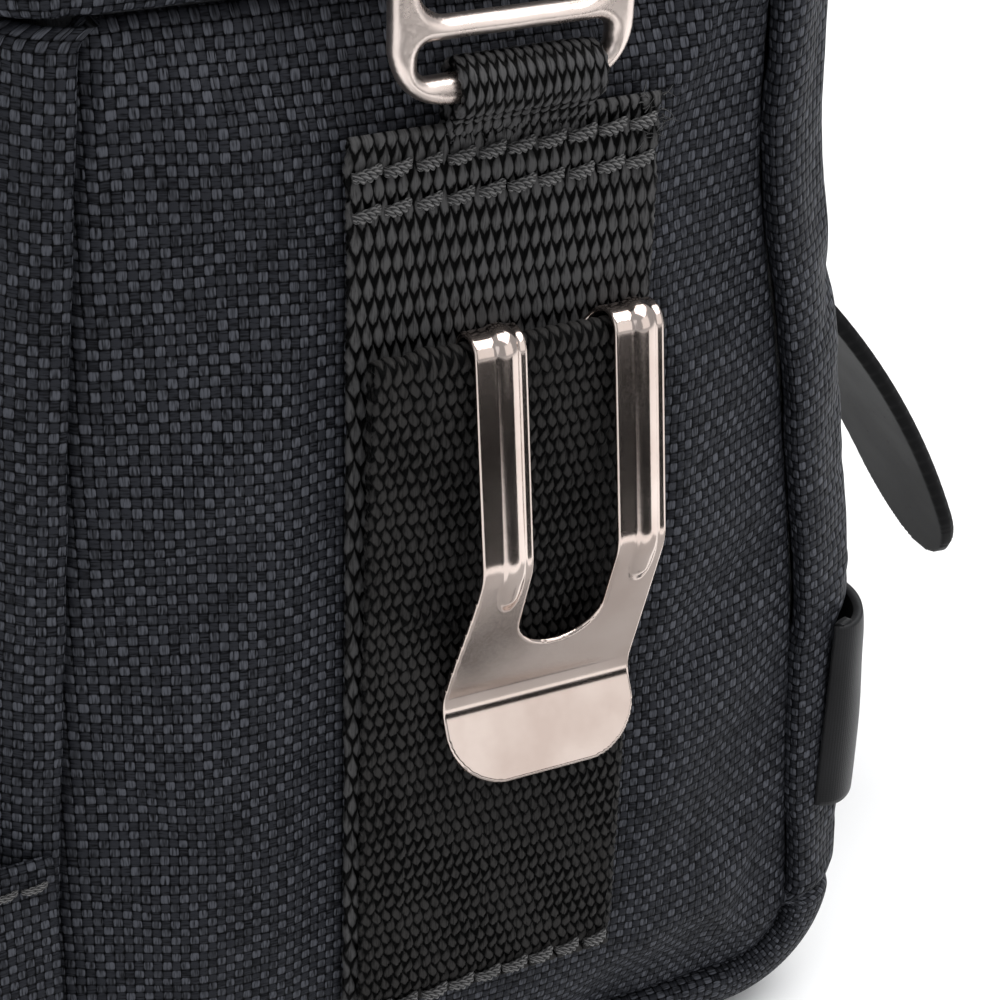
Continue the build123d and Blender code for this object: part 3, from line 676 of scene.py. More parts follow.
def wall_piece(name, first, last, crown):
    """A run of the wall line, padded, with a groove at each sewn end."""
    x, depth, across = wall_section()
    rows = np.arange(first, last + 1)
    line, normal, along = LINE[rows], LINE_NORMAL[rows], LINE_LENGTH[rows]
    s, c = np.meshgrid(along, across, indexing="ij")
    side = np.abs(x)[None, :]
    # distance to the nearest sewn line, along the wall and across it
    ends = np.minimum(s - along[0], along[-1] - s)
    swell = pillow(HALF_WIDTH - side, 34.0) * pillow(ends, 30.0)
    lift = crown * swell
    lift += ripple(s, c, 34.0, 3) * 0.45 * swell
    # puckers where the wall is sewn to the side panels
    edge = np.exp(-np.abs(across[-1] - np.abs(c)) / 5.0)
    lift += 0.22 * edge * ripple(s, c * 0.15, 7.0, 5)
    lift -= 0.5 * groove(ends, 0.9)
    if name == "base_panel_pad":
        lift = np.minimum(lift, 0.0)
    if name == "back_panel_pad":
        z = line[:, 1][:, None]
        under_clip = between(z, 38.0, 116.0) * smooth_step((26.0 - side) / 5.0)
        under_band = between(z, BAND_LOW[2] - 4.0, BAND_HIGH[2] + 3.0)
        pressed = np.maximum(under_clip, under_band)
        lift = lift * (1 - pressed) - 0.4 * pressed
    points = np.empty((*s.shape, 3))
    points[..., 0] = x[None, :] + np.sign(x)[None, :] * lift * np.clip(depth / WRAP, 0, 1)[None, :] * 0.4
    inward = depth[None, :] - lift
    points[..., 1:] = off_line(line, normal, inward)
    # the sewn ends turn in
    for row in (0, -1):
        points[row, :, 1:] += normal[row] * END_TUCK
    faces = flip(grid_faces(*s.shape))
    piece = new_piece(name, points, faces, "pouch", NYLON, "ballistic_nylon", pairs(c, s))
    if name != "base_panel_pad":
        sewn = (ends < 1.0) | (depth[None, :] > WRAP * 0.9)
        reach = 1.3 * smooth_step(ends / 8.0) * smooth_step((WRAP - depth[None, :]) / WRAP)
        if name == "back_panel_pad":
            reach = reach * (1 - pressed)
        inflate(piece, np.broadcast_to(sewn, s.shape).ravel(), np.broadcast_to(reach, s.shape).ravel())
    subdivide(piece)
    thicken(piece, WALL_CLOTH)
    return piece


front_panel = wall_piece("front_panel_pad", 0, FRONT_FOOT, 2.2)
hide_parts("front_panel", "front_foam")
base_panel = wall_piece("base_panel_pad", FRONT_FOOT, BACK_FOOT, 0.6)
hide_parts("base_panel")
back_panel = wall_piece("back_panel_pad", BACK_FOOT, len(LINE) - 1, 1.6)
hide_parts("back_panel")


# ------------------------------------------------------------------ side panels
SEAM_SINK = 3.4  # how far the side seams lie below the pouch's full width
CROWN_ALLOWANCE = 0.9  # what the cloth simulation adds to the bulge again


def side_boundary(inset):
    """The side seam's line, inset from the walls' outer face, as four edges between corners:
    front (top to bottom), bottom (front to back), back (bottom to top)."""
    line = LINE + LINE_NORMAL * inset
    half_arc = int(CORNER * PI / 2 / WALL_STEP) // 2
    low_front, low_back = FRONT_FOOT + half_arc, BACK_FOOT - half_arc
    return line[: low_front + 1], line[low_front: low_back + 1], line[low_back:]


def resample(line, spots):
    """Points on a line at these shares of its length."""
    lengths = arc_length(line)
    want = np.asarray(spots) * lengths[-1]
    return np.stack([np.interp(want, lengths, line[:, k]) for k in range(line.shape[1])], -1)


def eased(count, span, first=0.45):
    """Shares from 0 to 1, close together at both ends; first is the first gap in mm."""
    t = np.linspace(-1, 1, count)
    strength = 1.0
    for _ in range(40):
        spots = (np.tanh(t * strength) / np.tanh(strength) + 1) / 2
        if (spots[1] - spots[0]) * span < first:
            break
        strength += 0.1
    return spots


def side_patch(inset, count_y=60, count_z=90, first=0.45):
    """A grid that fills the side's outline: (y, z) points and each one's distance to the seam."""
    front, bottom, back = side_boundary(inset)
    u = eased(count_y, 95.0, first)
    v = eased(count_z, 150.0, first)
    left = resample(front[::-1], v)
    right = resample(back, v)
    low = resample(bottom, u)
    top_front, top_back = front[0], back[-1]
    high = top_front + (top_back - top_front) * u[:, None]
    uu, vv = u[None, :, None], v[:, None, None]
    grid = (1 - vv) * low[None] + vv * high[None] + (1 - uu) * left[:, None] + uu * right[:, None]
    grid -= (
        (1 - uu) * (1 - vv) * low[0] + uu * (1 - vv) * low[-1] + (1 - uu) * vv * high[0] + uu * vv * high[-1]
    )
    gaps = []
    for edge in (front, bottom, back, np.stack([top_front, top_back])):
        dense = resample(edge, np.linspace(0, 1, 220))
        delta = grid.reshape(-1, 1, 2) - dense[None]
        gaps.append(np.sqrt((delta ** 2).sum(-1)).min(1).reshape(grid.shape[:2]))
    gaps = np.maximum(np.array(gaps), 1e-3)
    distance = (gaps ** -3.0).sum(0) ** (-1 / 3.0)
    distance = np.where(gaps.min(0) < 0.01, 0.0, distance)
    return grid, distance


def side_panel():
    """The padded side, which bulges out from a sunken seam."""
    grid, distance = side_patch(WRAP + 0.9)
    y, z = grid[..., 0], grid[..., 1]
    seam_x = HALF_WIDTH - SEAM_SINK
    crown = CROWN_X - seam_x - CROWN_ALLOWANCE
    rise = pillow(distance, 33.0, 2.6)
    x = seam_x + crown * rise
    swell = smooth_step(distance / 20.0)
    x += ripple(y, z, 38.0, 21) * 0.5 * swell * (1 - smooth_step((26.0 - np.abs(y)) / 6.0))
    x += 0.3 * np.exp(-distance / 4.5) * smooth_step(distance / 1.5) * ripple(y * 0.4, z, 8.0, 23)
    points = np.stack([x, y, z], -1)
    faces = grid_faces(*y.shape)
    piece = new_piece("gusset_right_pad", points, faces, "pouch", NYLON, "ballistic_nylon", pairs(y, z))
    reach = 1.4 * smooth_step(distance / 6.0)
    reach = np.where(np.abs(y) < 24.0, np.minimum(reach, 0.7), reach)
    inflate(piece, (distance < 0.8).ravel(), reach.ravel())
    subdivide(piece)
    thicken(piece, 1.6)
    return piece


gusset_right = side_panel()
gusset_left = mirrored(gusset_right, "gusset_left_pad", "pouch")
for piece, node in ((gusset_right, "gusset_right"), (gusset_left, "gusset_left")):
    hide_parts(node)


# ------------------------------------------------------------------ collar
COLLAR_WALL = 8.5  # its thickness
WELD_GAP = 0.01  # points nearer than this are one


def ring_line(half_x, y_low, y_high, radius, step=1.5):
    """A rounded rectangle seen from above, with outward normals and length, starting mid back."""
    centre_y = (y_low + y_high) / 2
    half_y = (y_high - y_low) / 2
    points, normals = [], []
    corners = [(1, -1), (1, 1), (-1, 1), (-1, -1)]
    for index, (sx, sy) in enumerate(corners):
        centre = np.array([sx * (half_x - radius), centre_y + sy * (half_y - radius)])
        start = -PI / 2 + index * PI / 2
        for angle in np.linspace(start, start + PI / 2, max(6, int(radius * PI / 2 / step * 1.6))):
            ray = np.array([math.cos(angle), math.sin(angle)])
            points.append(centre + radius * ray)
            normals.append(ray)
        nx, ny = corners[(index + 1) % 4]
        following = np.array([nx * (half_x - radius), centre_y + ny * (half_y - radius)])
        ray = np.array([math.cos(start + PI / 2), math.sin(start + PI / 2)])
        run = np.linalg.norm(following - centre)
        for t in np.linspace(0, 1, int(run / step))[1:-1]:
            points.append(centre + (following - centre) * t + radius * ray)
            normals.append(ray)
    points, normals = np.array(points), np.array(normals)
    closed = np.vstack([points, points[:1]])
    lengths = arc_length(closed)
    return points, normals, lengths[:-1]


def collar():
    """The padded roll round the mouth, with a mitred dart at each corner."""
    radius = WRAP + COLLAR_OUT
    points, normals, lengths = ring_line(COLLAR_HIGH[0], COLLAR_LOW[1], COLLAR_HIGH[1], radius)
    wall, low, high = COLLAR_WALL, COLLAR_LOW[2], COLLAR_HIGH[2]
    turns = np.linspace(0, 2 * PI, 44, endpoint=False)
    inward = wall / 2 * (1 - squared(np.cos(turns), 0.42))
    height = (low + high) / 2 + (high - low) / 2 * squared(np.sin(turns), 0.5)
    section = np.stack([inward, height], -1)
    length_round = arc_length(section)
    s, r = np.meshgrid(lengths, length_round, indexing="ij")
    z = np.broadcast_to(height[None, :], s.shape)
    dent = np.zeros_like(s)
    for sx in (-1, 1):
        for sy in (-1, 1):
            spot_y = COLLAR_LOW[1] + radius if sy < 0 else COLLAR_HIGH[1] - radius
            spot = np.array([sx * COLLAR_HIGH[0], spot_y])
            nearest = lengths[np.argmin(((points - spot) ** 2).sum(1))]
            lean = (z - low) * 0.45 * (1 if sx * sy > 0 else -1)
            dent += groove(s - nearest - lean, 0.9)
    puff = 0.5 * np.cos((z - (low + high) / 2) / (high - low) * PI) + 0.3 * ripple(s, r, 30.0, 31)
    puff += 0.25 * ripple(s, r * 0.2, 7.5, 33) * np.exp(-(z - low) / 4.0)
    puff -= 1.1 * dent
    outside = np.cos(turns)[None, :]
    lift = puff * np.where(outside > 0, 1.0, 0.4) * np.abs(outside) ** 0.5
    lift -= 0.35 * dent * (1 - np.abs(outside))
    depth = section[None, :, 0] - np.sign(outside) * lift
    position = points[:, None, :] - normals[:, None, :] * depth[..., None]
    z = z - 0.5 * dent * (np.sin(turns)[None, :] > 0.6)
    grid = np.concatenate([position, z[..., None]], -1)
    rows, cols = s.shape
    grid = np.concatenate([grid, grid[:1]])
    s = np.vstack([s, np.full((1, cols), lengths[-1] + 1.5)])
    r = np.vstack([r, r[:1]])
    faces = flip(grid_faces(rows + 1, cols, wrap=True))
    piece = new_piece("mouth_collar_roll", grid, faces, "pouch", NYLON, "ballistic_nylon", pairs(s, r))
    modify(piece, "WELD", merge_threshold=WELD_GAP * MM)
    subdivide(piece)
    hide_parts("mouth_collar")
    return piece


collar()


# ------------------------------------------------------------------ webbing
KNOT_PITCH = 1.3  # the weft's turns along a selvedge


def rounded_path(corners, radii, step):
    """A line through corners whose bends are arcs, resampled evenly. Corners are 2-D, in mm."""
    corners = [np.array(c, float) for c in corners]
    points = [corners[0]]
    for before, here, after, radius in zip(corners, corners[1:], corners[2:], radii):
        back, ahead = before - here, after - here
        back /= np.linalg.norm(back)
        ahead /= np.linalg.norm(ahead)
        half = math.acos(float(np.clip(back @ ahead, -1, 1))) / 2
        centre = here + (back + ahead) / np.linalg.norm(back + ahead) * radius / math.sin(half)
        first = here + back * radius / math.tan(half)
        last = here + ahead * radius / math.tan(half)
        a0 = math.atan2(*(first - centre)[::-1])
        a1 = math.atan2(*(last - centre)[::-1])
        turn = (a1 - a0 + PI) % (2 * PI) - PI
        for t in np.linspace(0, 1, 24):
            points.append(centre + radius * np.array([math.cos(a0 + turn * t), math.sin(a0 + turn * t)]))
    points.append(corners[-1])
    line = np.array(points)
    length = np.linalg.norm(np.diff(line, axis=0), axis=1).sum()
    return resample(line, np.linspace(0, 1, max(3, int(length / step) + 1)))


def smooth_line(line, rounds):
    for _ in range(rounds):
        line[1:-1] = (line[:-2] + 2 * line[1:-1] + line[2:]) / 4
    return line


def path_frame(line):
    """Length along a 2-D line and the normal on its left."""
    lengths = arc_length(line)
    direction = np.gradient(line, axis=0)
    direction /= np.linalg.norm(direction, axis=1)[:, None]
    return lengths, np.stack([-direction[:, 1], direction[:, 0]], -1)


def float_relief(u, v, pitch, row, lean):
    """The same drop-shaped floats as webbing_height, for points: 0 to 1."""
    best = np.zeros(np.broadcast(u, v).shape)
    for shift, tilt in ((0.0, lean), (0.5, -lean)):
        along = ((v / (2 * row) + shift) % 1 - 0.5) * (2 / FLOAT_REACH)
        across = ((u / pitch + shift + along * tilt) % 1 - 0.5) * 2
        taper = along - (1 - along ** 2) * FLOAT_DROP
        slim = np.maximum(1 - np.abs(taper) ** 1.6, 0.02)
        dome = np.sqrt(np.maximum(1 - (across / slim) ** 2, 0)) * np.maximum(1 - taper ** 2 * 0.5, 0)
        best = np.maximum(best, dome)
    return best


def webbing_strip(name, line, y_low, y_high, thickness, material, weave, relief=0.3, lift=None, seed=3):
    """Webbing that follows a line in the XZ plane. Its left side shows, with woven floats,
    a thicker selvedge along both edges and rounded ends."""
    along, normal = path_frame(line)
    half = (y_high - y_low) / 2
    top = np.arange(-half + 0.45, half - 0.45 + 1e-6, 0.27)
    edge_y = np.array([0.12 - half, -half, 0.12 - half])
    edge_level = np.array([0.30, 0.0, -0.34])
    under_y = np.linspace(half, -half, 7)[1:-1]
    y_offsets = np.concatenate([edge_y[::-1], top, -edge_y, under_y])
    level = np.concatenate([edge_level[::-1], np.full(len(top), 0.5), edge_level, np.full(5, -0.5)])
    is_top = np.concatenate([[False] * 3, [True] * len(top), [False] * 8])
    s, u = np.meshgrid(along, y_offsets, indexing="ij")
    level = np.broadcast_to(level[None], s.shape).copy()
    end = np.minimum(s - along[0], along[-1] - s)
    rounding = np.sqrt(1 - (1 - np.clip(end / (thickness * 0.55), 0.0, 1)) ** 2)
    wobble = 0.16 * ripple(s, u, 17.0, seed) + 0.05 * ripple(s, u, 4.0, seed + 1)
    floats = float_relief(u + wobble * 1.5, s + wobble * 2, **weave)
    selvedge = groove(half - np.abs(u) - 0.75, 0.55)
    knots = 0.5 + 0.5 * np.cos(2 * PI * s / KNOT_PITCH + u * 1.4)
    height = relief * floats * smooth_step((half - np.abs(u) - 0.9) / 0.5) + selvedge * (0.1 + 0.14 * knots)
    out = level * thickness * rounding + np.where(is_top[None], height - relief * 0.5, 0.0) * rounding
    out += wobble * 0.5
    if lift is not None:
        out += lift(s, u)
    scallop = 0.1 * np.cos(2 * PI * s / KNOT_PITCH) + 0.08 * ripple(s, u * 0, 3.0, seed + 2)
    side = np.where(np.abs(u) > half - 0.4, np.sign(u) * scallop, 0)
    points = np.empty((*s.shape, 3))
    points[..., ::2] = off_line(line, normal, out)
    points[..., 1] = (y_low + y_high) / 2 + u + side
    return new_piece(name, points, tube_faces(*s.shape), "pouch", material, "webbing", pairs(u, s))


# Wide strap: its ends are sewn down, and its top end is folded under into a roll.
STRAP_MIDDLE_X = (STRAP_LOW[0] + STRAP_HIGH[0]) / 2
TOP_ROWS = (148.4, 143.8)  # heights of the two stitch rows
FOOT_ROW = STRAP_LOW[2] + 1.9
STITCH_LEAN = 1.2 / 36.0  # the rows climb a little towards the back
STITCH = 3.9  # length of one


def strap_lift(s, u):
    """Dimples along the stitch rows, and the folded end. s runs down from the strap's top."""
    z = STRAP_HIGH[2] - s
    lift = 0.35 * groove(s, 2.2)
    for row_z in TOP_ROWS + (FOOT_ROW,):
        lift -= 0.42 * groove(z - row_z - u * STITCH_LEAN, 1.0)
    return lift


def strap(name, fine_low):
    """The wide strap, finely divided down to a height that the flap covers below."""
    run = STRAP_HIGH[2] - STRAP_LOW[2]
    fine = np.arange(0, STRAP_HIGH[2] - fine_low, 0.3)
    coarse = np.arange(fine[-1] + 1.0, run, 1.0)
    z = STRAP_HIGH[2] - np.concatenate([fine, coarse, [run]])
    bow = -0.55 * smooth_step((z - 140) / 12) - 0.5 * smooth_step((42 - z) / 11)
    line = np.stack([STRAP_MIDDLE_X + bow, z], -1)
    return webbing_strip(name, line, STRAP_LOW[1], STRAP_HIGH[1], STRAP_HIGH[0] - STRAP_LOW[0],
                         WIDE_WEBBING, WIDE_WEAVE, relief=0.4, lift=strap_lift)


strap_right = strap("strap_right_webbing", 122.0)
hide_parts("strap_right")
strap_source = strap("strap_left_source", STRAP_LOW[2])
mirrored(strap_source, "strap_left_webbing", "pouch", "strap_left")
bpy.data.objects.remove(strap_source)

# Flap: the second layer, folded over at its top, with its cut end behind.
FOLD_RADIUS = 1.0
FLAP_FACE_X = 59.1


def tape_flap():
    face = FLAP_FACE_X - 0.65
    top_x = FLAP_HIGH[0] - 0.65
    back_x = top_x - 2 * FOLD_RADIUS
    line = rounded_path(
        [
            (back_x - 0.2, 96.0),
            (back_x, FLAP_HIGH[2] - 0.3),
            (top_x, FLAP_HIGH[2] - 0.3),
            (face, 84.0),
            (face - 0.25, FLAP_LOW[2] + 0.1),
        ],
        [FOLD_RADIUS * 0.98, FOLD_RADIUS * 0.98, 30.0], 0.3,
    )
    along, _ = path_frame(line)

    def lift(s, u):
        z = np.interp(s, along, line[:, 1])
        front = s > 30.0
        ridge = 0.35 * groove(u + 12.6 - 0.02 * (z - 80), 0.9) - 0.25 * groove(u + 14.4, 0.9)
        foot = 0.4 * groove(z - FOOT_ROW - u * STITCH_LEAN, 1.0)
        return np.where(front, ridge - foot, 0.0)

    piece = webbing_strip("tape_flap_webbing", line, FLAP_LOW[1], FLAP_HIGH[1], 1.25,
                          FLAP_WEBBING, FLAP_WEAVE, relief=0.34, lift=lift, seed=9)
    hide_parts("tape_flap")
    return piece


tape_flap()

# Narrow loops: up behind the strap, over the ring's lower bar and down again.
RING_AXIS = (LOOP_HIGH[0] - (LOOP_HIGH[2] - 156.4), 156.4)
BAR_WRAP = 2.72


def ring_loop():
    axis_x, axis_z = RING_AXIS
    tail_x = LOOP_LOW[0] + 0.7
    wrap = [
        (axis_x + BAR_WRAP * math.cos(a), axis_z + BAR_WRAP * math.sin(a))
        for a in np.linspace(PI * 0.98, -PI * 0.30, 40)
    ]
    tail = [(tail_x, LOOP_LOW[2] + 0.2), (tail_x, axis_z - 4.0), (tail_x + 0.02, axis_z - 1.5)]
    ending = [(axis_x - 0.35, 152.6), (axis_x - 1.45, 150.6), (axis_x - 1.95, 148.4)]
    line = np.array(tail + wrap + ending)
    line = smooth_line(resample(line, np.linspace(0, 1, 140)), 6)
    return webbing_strip("ring_loop_right_webbing", line, LOOP_LOW[1], LOOP_HIGH[1], 1.25,
                         NARROW_WEBBING, NARROW_WEAVE, relief=0.3, seed=15)


loop_right = ring_loop()
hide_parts("ring_loop_right")
mirrored(loop_right, "ring_loop_left_webbing", "pouch", "ring_loop_left")


# ------------------------------------------------------------------ topstitching
def stitch_run(corners, normal, pitch, radius, arch=0.35, plies=3, turns=1.5, lean=0.0):
    """Points, faces and coordinates of a row of twisted-thread stitches along a line of 3-D points."""
    line = np.asarray(corners, float)
    lengths = arc_length(line)
    count = max(1, int(round(lengths[-1] / pitch)))
    normal = np.asarray(normal, float) / np.linalg.norm(normal)
    parts = []
    rings, sides = 15, 6
    t = np.linspace(0, 1, rings)
    for index in range(count):
        jitter = rng.normal(0, 0.06, 4)
        a = (index + 0.06 + jitter[0] * 0.5) / count * lengths[-1]
        b = (index + 0.94 + jitter[1] * 0.5) / count * lengths[-1]
        spots = a + (b - a) * t
        middle = np.stack([np.interp(spots, lengths, line[:, k]) for k in range(3)], -1)
        direction = middle[-1] - middle[0]
        direction /= np.linalg.norm(direction)
        across = np.cross(normal, direction)
        rise = np.sin(PI * t) ** 0.55
        middle = middle + normal * ((rise * 1.35 - 0.85) * arch * (1 + jitter[2]))[:, None]
        middle = middle + across * ((t - 0.5) * lean + jitter[3])[:, None]
        plump = radius * (0.5 + 0.5 * np.sin(PI * np.clip(t, 0.04, 0.96)) ** 0.4)
        for ply in range(plies):
            turn = 2 * PI * (turns * t + ply / plies)
            around = across * np.cos(turn)[:, None] + normal * np.sin(turn)[:, None]
            centre = middle + around * (plump * 0.52)[:, None]
            ring_turn = np.linspace(0, 2 * PI, sides, endpoint=False)
            ring = (
                across[None, None] * np.cos(ring_turn)[None, :, None]
                + normal[None, None] * np.sin(ring_turn)[None, :, None]
            ) * (plump * 0.56)[:, None, None]
            points = (centre[:, None] + ring).reshape(-1, 3)
            uv = np.stack([np.tile(ring_turn, rings), np.repeat(spots, sides)], -1)
            parts.append((points, tube_faces(rings, sides), uv))
    return parts


def stitch_piece(name, parts):
    points, faces, uv = join(parts)
    return new_piece(name, points, faces, "pouch", THREAD, "webbing", uv)


def strap_stitches(foot_x, foot_low_y, foot_high_y):
    """Two rows across the strap's top and one across its foot."""
    parts = []
    y_low, y_high = STRAP_LOW[1] + 0.3, STRAP_HIGH[1] - 0.6
    for row_z in TOP_ROWS:
        z_low, z_high = (row_z + y * STITCH_LEAN for y in (y_low, y_high))
        x = STRAP_HIGH[0] - 0.2
        ends = [(x, y_low, z_low), (x, y_high, z_high)]
        parts += stitch_run(ends, (1, 0, 0), STITCH, 0.78, arch=0.62, lean=0.7)
    ends = [(foot_x, foot_low_y, FOOT_ROW - 0.6), (foot_x, foot_high_y, FOOT_ROW + 0.6)]
    return parts + stitch_run(ends, (1, 0, 0), STITCH, 0.74, arch=0.6, lean=0.7)


flap_foot = strap_stitches(FLAP_FACE_X + 0.1, FLAP_LOW[1] + 0.6, FLAP_HIGH[1] - 0.6)
stitch_piece("strap_right_stitching", flap_foot)
strap_foot = strap_stitches(STRAP_HIGH[0] - 0.3, STRAP_LOW[1] + 0.5, STRAP_HIGH[1] - 0.5)
stitch_source = stitch_piece("left_source", strap_foot)
mirrored(stitch_source, "strap_left_stitching", "pouch")
bpy.data.objects.remove(stitch_source)


def frayed_ends(count=34, seed=131):
    """Loose fibres at the back corner of the right strap's cut top end."""
    source = np.random.default_rng(seed)
    parts = []
    share = np.linspace(0, 1, 9)
    turn = np.linspace(0, 2 * PI, 5, endpoint=False)
    for _ in range(count):
        root = np.array([STRAP_HIGH[0] - source.uniform(0.0, 0.9), STRAP_HIGH[1] - source.uniform(-0.2, 3.4),
                         STRAP_HIGH[2] - source.uniform(0.0, 5.5)])
        aim = np.array([source.uniform(-0.1, 0.8), source.uniform(-0.2, 1.0), source.uniform(-0.5, 1.0)])
        curl = source.normal(0, 0.8, 3)
        length = source.uniform(0.8, 2.2)
        middle = root + length * (share[:, None] * aim + (share ** 2)[:, None] * curl * 0.6)
        direction = np.gradient(middle, axis=0)
        direction /= np.linalg.norm(direction, axis=1)[:, None]
        first = np.cross(direction, (0.3, 0.2, 1.0))
        first /= np.linalg.norm(first, axis=1)[:, None]
        second = np.cross(direction, first)
        radius = 0.09 * (1 - share * 0.6)
        ring = first[:, None] * np.cos(turn)[None, :, None] + second[:, None] * np.sin(turn)[None, :, None]
        points = (middle[:, None] + ring * radius[:, None, None]).reshape(-1, 3)
        uv = np.stack([np.tile(turn, len(share)), np.repeat(share * length, len(turn))], -1)
        parts.append((points, tube_faces(len(share), len(turn)), uv))
    stitch_piece("strap_right_frayed_fibres", parts)


frayed_ends()


# ------------------------------------------------------------------ stamped metal
def stamped(name, inside, low, high, cell, place, half_thickness, rounding, body, material, slot,
            emboss=None):
    """A plate cut to an outline and laid on a curved surface, with rounded edges.
    low and high are the corners of a box round the outline, and cell is the mesh size.
    inside(a, b) is how far a point is inside the outline, in mm, negative outside. place(a, b, level)
    gives the point level mm off the middle surface. emboss(a, b) shifts the middle surface."""
    (a_low, b_low), (a_high, b_high) = low, high
    a = np.arange(a_low - cell, a_high + cell * 1.5, cell)
    b = np.arange(b_low - cell, b_high + cell * 1.5, cell)
    aa, bb = np.meshgrid(a, b, indexing="ij")
    rows, cols = aa.shape
    depth = inside(aa, bb)
    quads = grid_faces(rows, cols)
    flat_depth = depth.ravel()
    quads = quads[(flat_depth[quads] > -0.42 * cell).all(1)]
    used = np.unique(quads)
    remap = np.full(rows * cols, -1)
    remap[used] = np.arange(len(used))
    quads = remap[quads]
    aa, bb = aa.ravel()[used], bb.ravel()[used]
    edges = np.concatenate([quads[:, [k, (k + 1) % 4]] for k in range(4)])
    edges, counts = np.unique(np.sort(edges, axis=1), axis=0, return_counts=True)
    rim = np.unique(edges[counts == 1])
    tiny = 0.02
    for _ in range(8):
        here = inside(aa[rim], bb[rim])
        slope_a = (inside(aa[rim] + tiny, bb[rim]) - here) / tiny
        slope_b = (inside(aa[rim], bb[rim] + tiny) - here) / tiny
        size = np.maximum(slope_a ** 2 + slope_b ** 2, 0.2)
        aa[rim] -= here * slope_a / size * 0.8
        bb[rim] -= here * slope_b / size * 0.8
    depth = np.maximum(inside(aa, bb), 0.0)
    depth[rim] = 0.0
    level = half_thickness * np.sqrt(1 - (1 - np.clip(depth / rounding, 0, 1)) ** 2)
    shift = emboss(aa, bb) if emboss else np.zeros_like(aa)
    top = place(aa, bb, shift + level)
    low = place(aa, bb, shift - level)
    count = len(aa)
    under = np.arange(count) + count
    under[rim] = rim
    faces = np.concatenate([quads, under[quads][:, ::-1]])
    keep = np.unique(faces)
    order = np.full(2 * count, -1)
    order[keep] = np.arange(len(keep))
    points = np.concatenate([top, low])[keep]
    uv = np.stack([np.concatenate([aa, aa]), np.concatenate([bb, bb])], -1)[keep]
    return new_piece(name, points, order[faces], body, material, slot, uv)


def box_inside(a, b, a_low, a_high, b_low, b_high, radius):
    """How far inside a rounded rectangle a point is."""
    qa = np.abs(a - (a_low + a_high) / 2) - (a_high - a_low) / 2 + radius
    qb = np.abs(b - (b_low + b_high) / 2) - (b_high - b_low) / 2 + radius
    outside = np.hypot(np.maximum(qa, 0), np.maximum(qb, 0))
    return radius - outside - np.minimum(np.maximum(qa, qb), 0)


def along_path(line):
    """Turns length along a 2-D line and a level off it into a 2-D point."""
    lengths, normal = path_frame(line)

    def at(s, level):
        p = [np.interp(s, lengths, line[:, k]) for k in range(2)]
        n = [np.interp(s, lengths, normal[:, k]) for k in range(2)]
        size = np.hypot(*n)
        return p[0] + n[0] / size * level, p[1] + n[1] / size * level

    return at, lengths


# Tape clip: one strip, from the leg behind the flap, over the fold and down to the lip.
SHEET = 0.8
CLIP_BEND_RADIUS = 2.4
CLIP_TOP_Z = CLIP_HIGH[2] - SHEET / 2
CLIP_KNEE = (66.9, 100.0)
CLIP_TOUCH = (59.95, 78.0)
CLIP_LIP = (65.0, CLIP_LOW[2] + 0.35)
ARMS_FRONT_Y = CLIP_LEG_LOW[1]
SLOT_CENTRE_Y = 5.8
SLOT_HALF = 5.5
SLOT_FOOT_Z = 86.2
ARM_RIBS = (-2.3, 15.1)  # Y of each arm's raised rib
RIB_HALF = 1.45  # half of a rib's width
RIB_HEIGHT = 0.6
LIP_CORNER, LEG_CORNER = 7.5, 3.0  # radii of the strip's end corners


def tape_clip():
    leg_x = (CLIP_LEG_LOW[0] + CLIP_LEG_HIGH[0]) / 2
    front_x = leg_x + 2 * CLIP_BEND_RADIUS
    line = rounded_path(
        [
            (leg_x, CLIP_LEG_LOW[2]), (leg_x, CLIP_TOP_Z), (front_x - 0.35, CLIP_TOP_Z),
            CLIP_KNEE, CLIP_TOUCH, CLIP_LIP,
        ],
        [CLIP_BEND_RADIUS * 0.98, CLIP_BEND_RADIUS * 0.9, 7.0, 5.0], 0.1,
    )
    line = smooth_line(line, 10)
    at, lengths = along_path(line)
    total = lengths[-1]
    heights = line[:, 1]
    after_top = lengths > lengths[np.argmax(heights)]

    def s_at(z):
        return float(np.interp(-z, -heights[after_top], lengths[after_top]))

    knee_s, foot_s, touch_s = s_at(CLIP_KNEE[1]), s_at(SLOT_FOOT_Z), s_at(CLIP_TOUCH[1])
    slot_start = lengths[np.argmax(heights)] - 5.2

    def inside(y, s):
        flare = smooth_step((s - knee_s) / (touch_s - knee_s))
        front = ARMS_FRONT_Y + (CLIP_LOW[1] - ARMS_FRONT_Y) * flare
        corner = np.where(s > total / 2, LIP_CORNER, LEG_CORNER)
        outline = box_inside(y, s, front, CLIP_HIGH[1], 0.0, total, corner)
        slot_y = SLOT_CENTRE_Y - SLOT_HALF, SLOT_CENTRE_Y + SLOT_HALF
        slot = box_inside(y, s, *slot_y, slot_start, foot_s, SLOT_HALF - 0.02)
        return np.minimum(outline, -slot)

    def emboss(y, s):
        lift = np.zeros_like(y)
        rib_end = knee_s + 6.8
        rib_start = slot_start + 2.6
        left = np.clip(np.minimum(rib_end - s, s - rib_start) / 4.5, 0.001, 1)
        half = RIB_HALF * np.sqrt(left * (2 - left))
        for centre in ARM_RIBS:
            profile = np.clip(1 - ((y - centre) / half) ** 2, 0, 1) ** 0.8
            lift += RIB_HEIGHT * profile * smooth_step(left * 1.6)
        return lift

    def place(y, s, level):
        x, z = at(s, level)
        return np.stack([x, y, z], -1)

    piece = stamped("tape_clip_strip", inside, (CLIP_LOW[1], 0.0), (CLIP_HIGH[1], total), 0.22, place,
                    SHEET / 2, 0.34, None, CLIP_NICKEL, "nickel", emboss)
    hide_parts("tape_clip_front", "tape_clip_leg")
    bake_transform(piece)
    return piece


tape_clip()


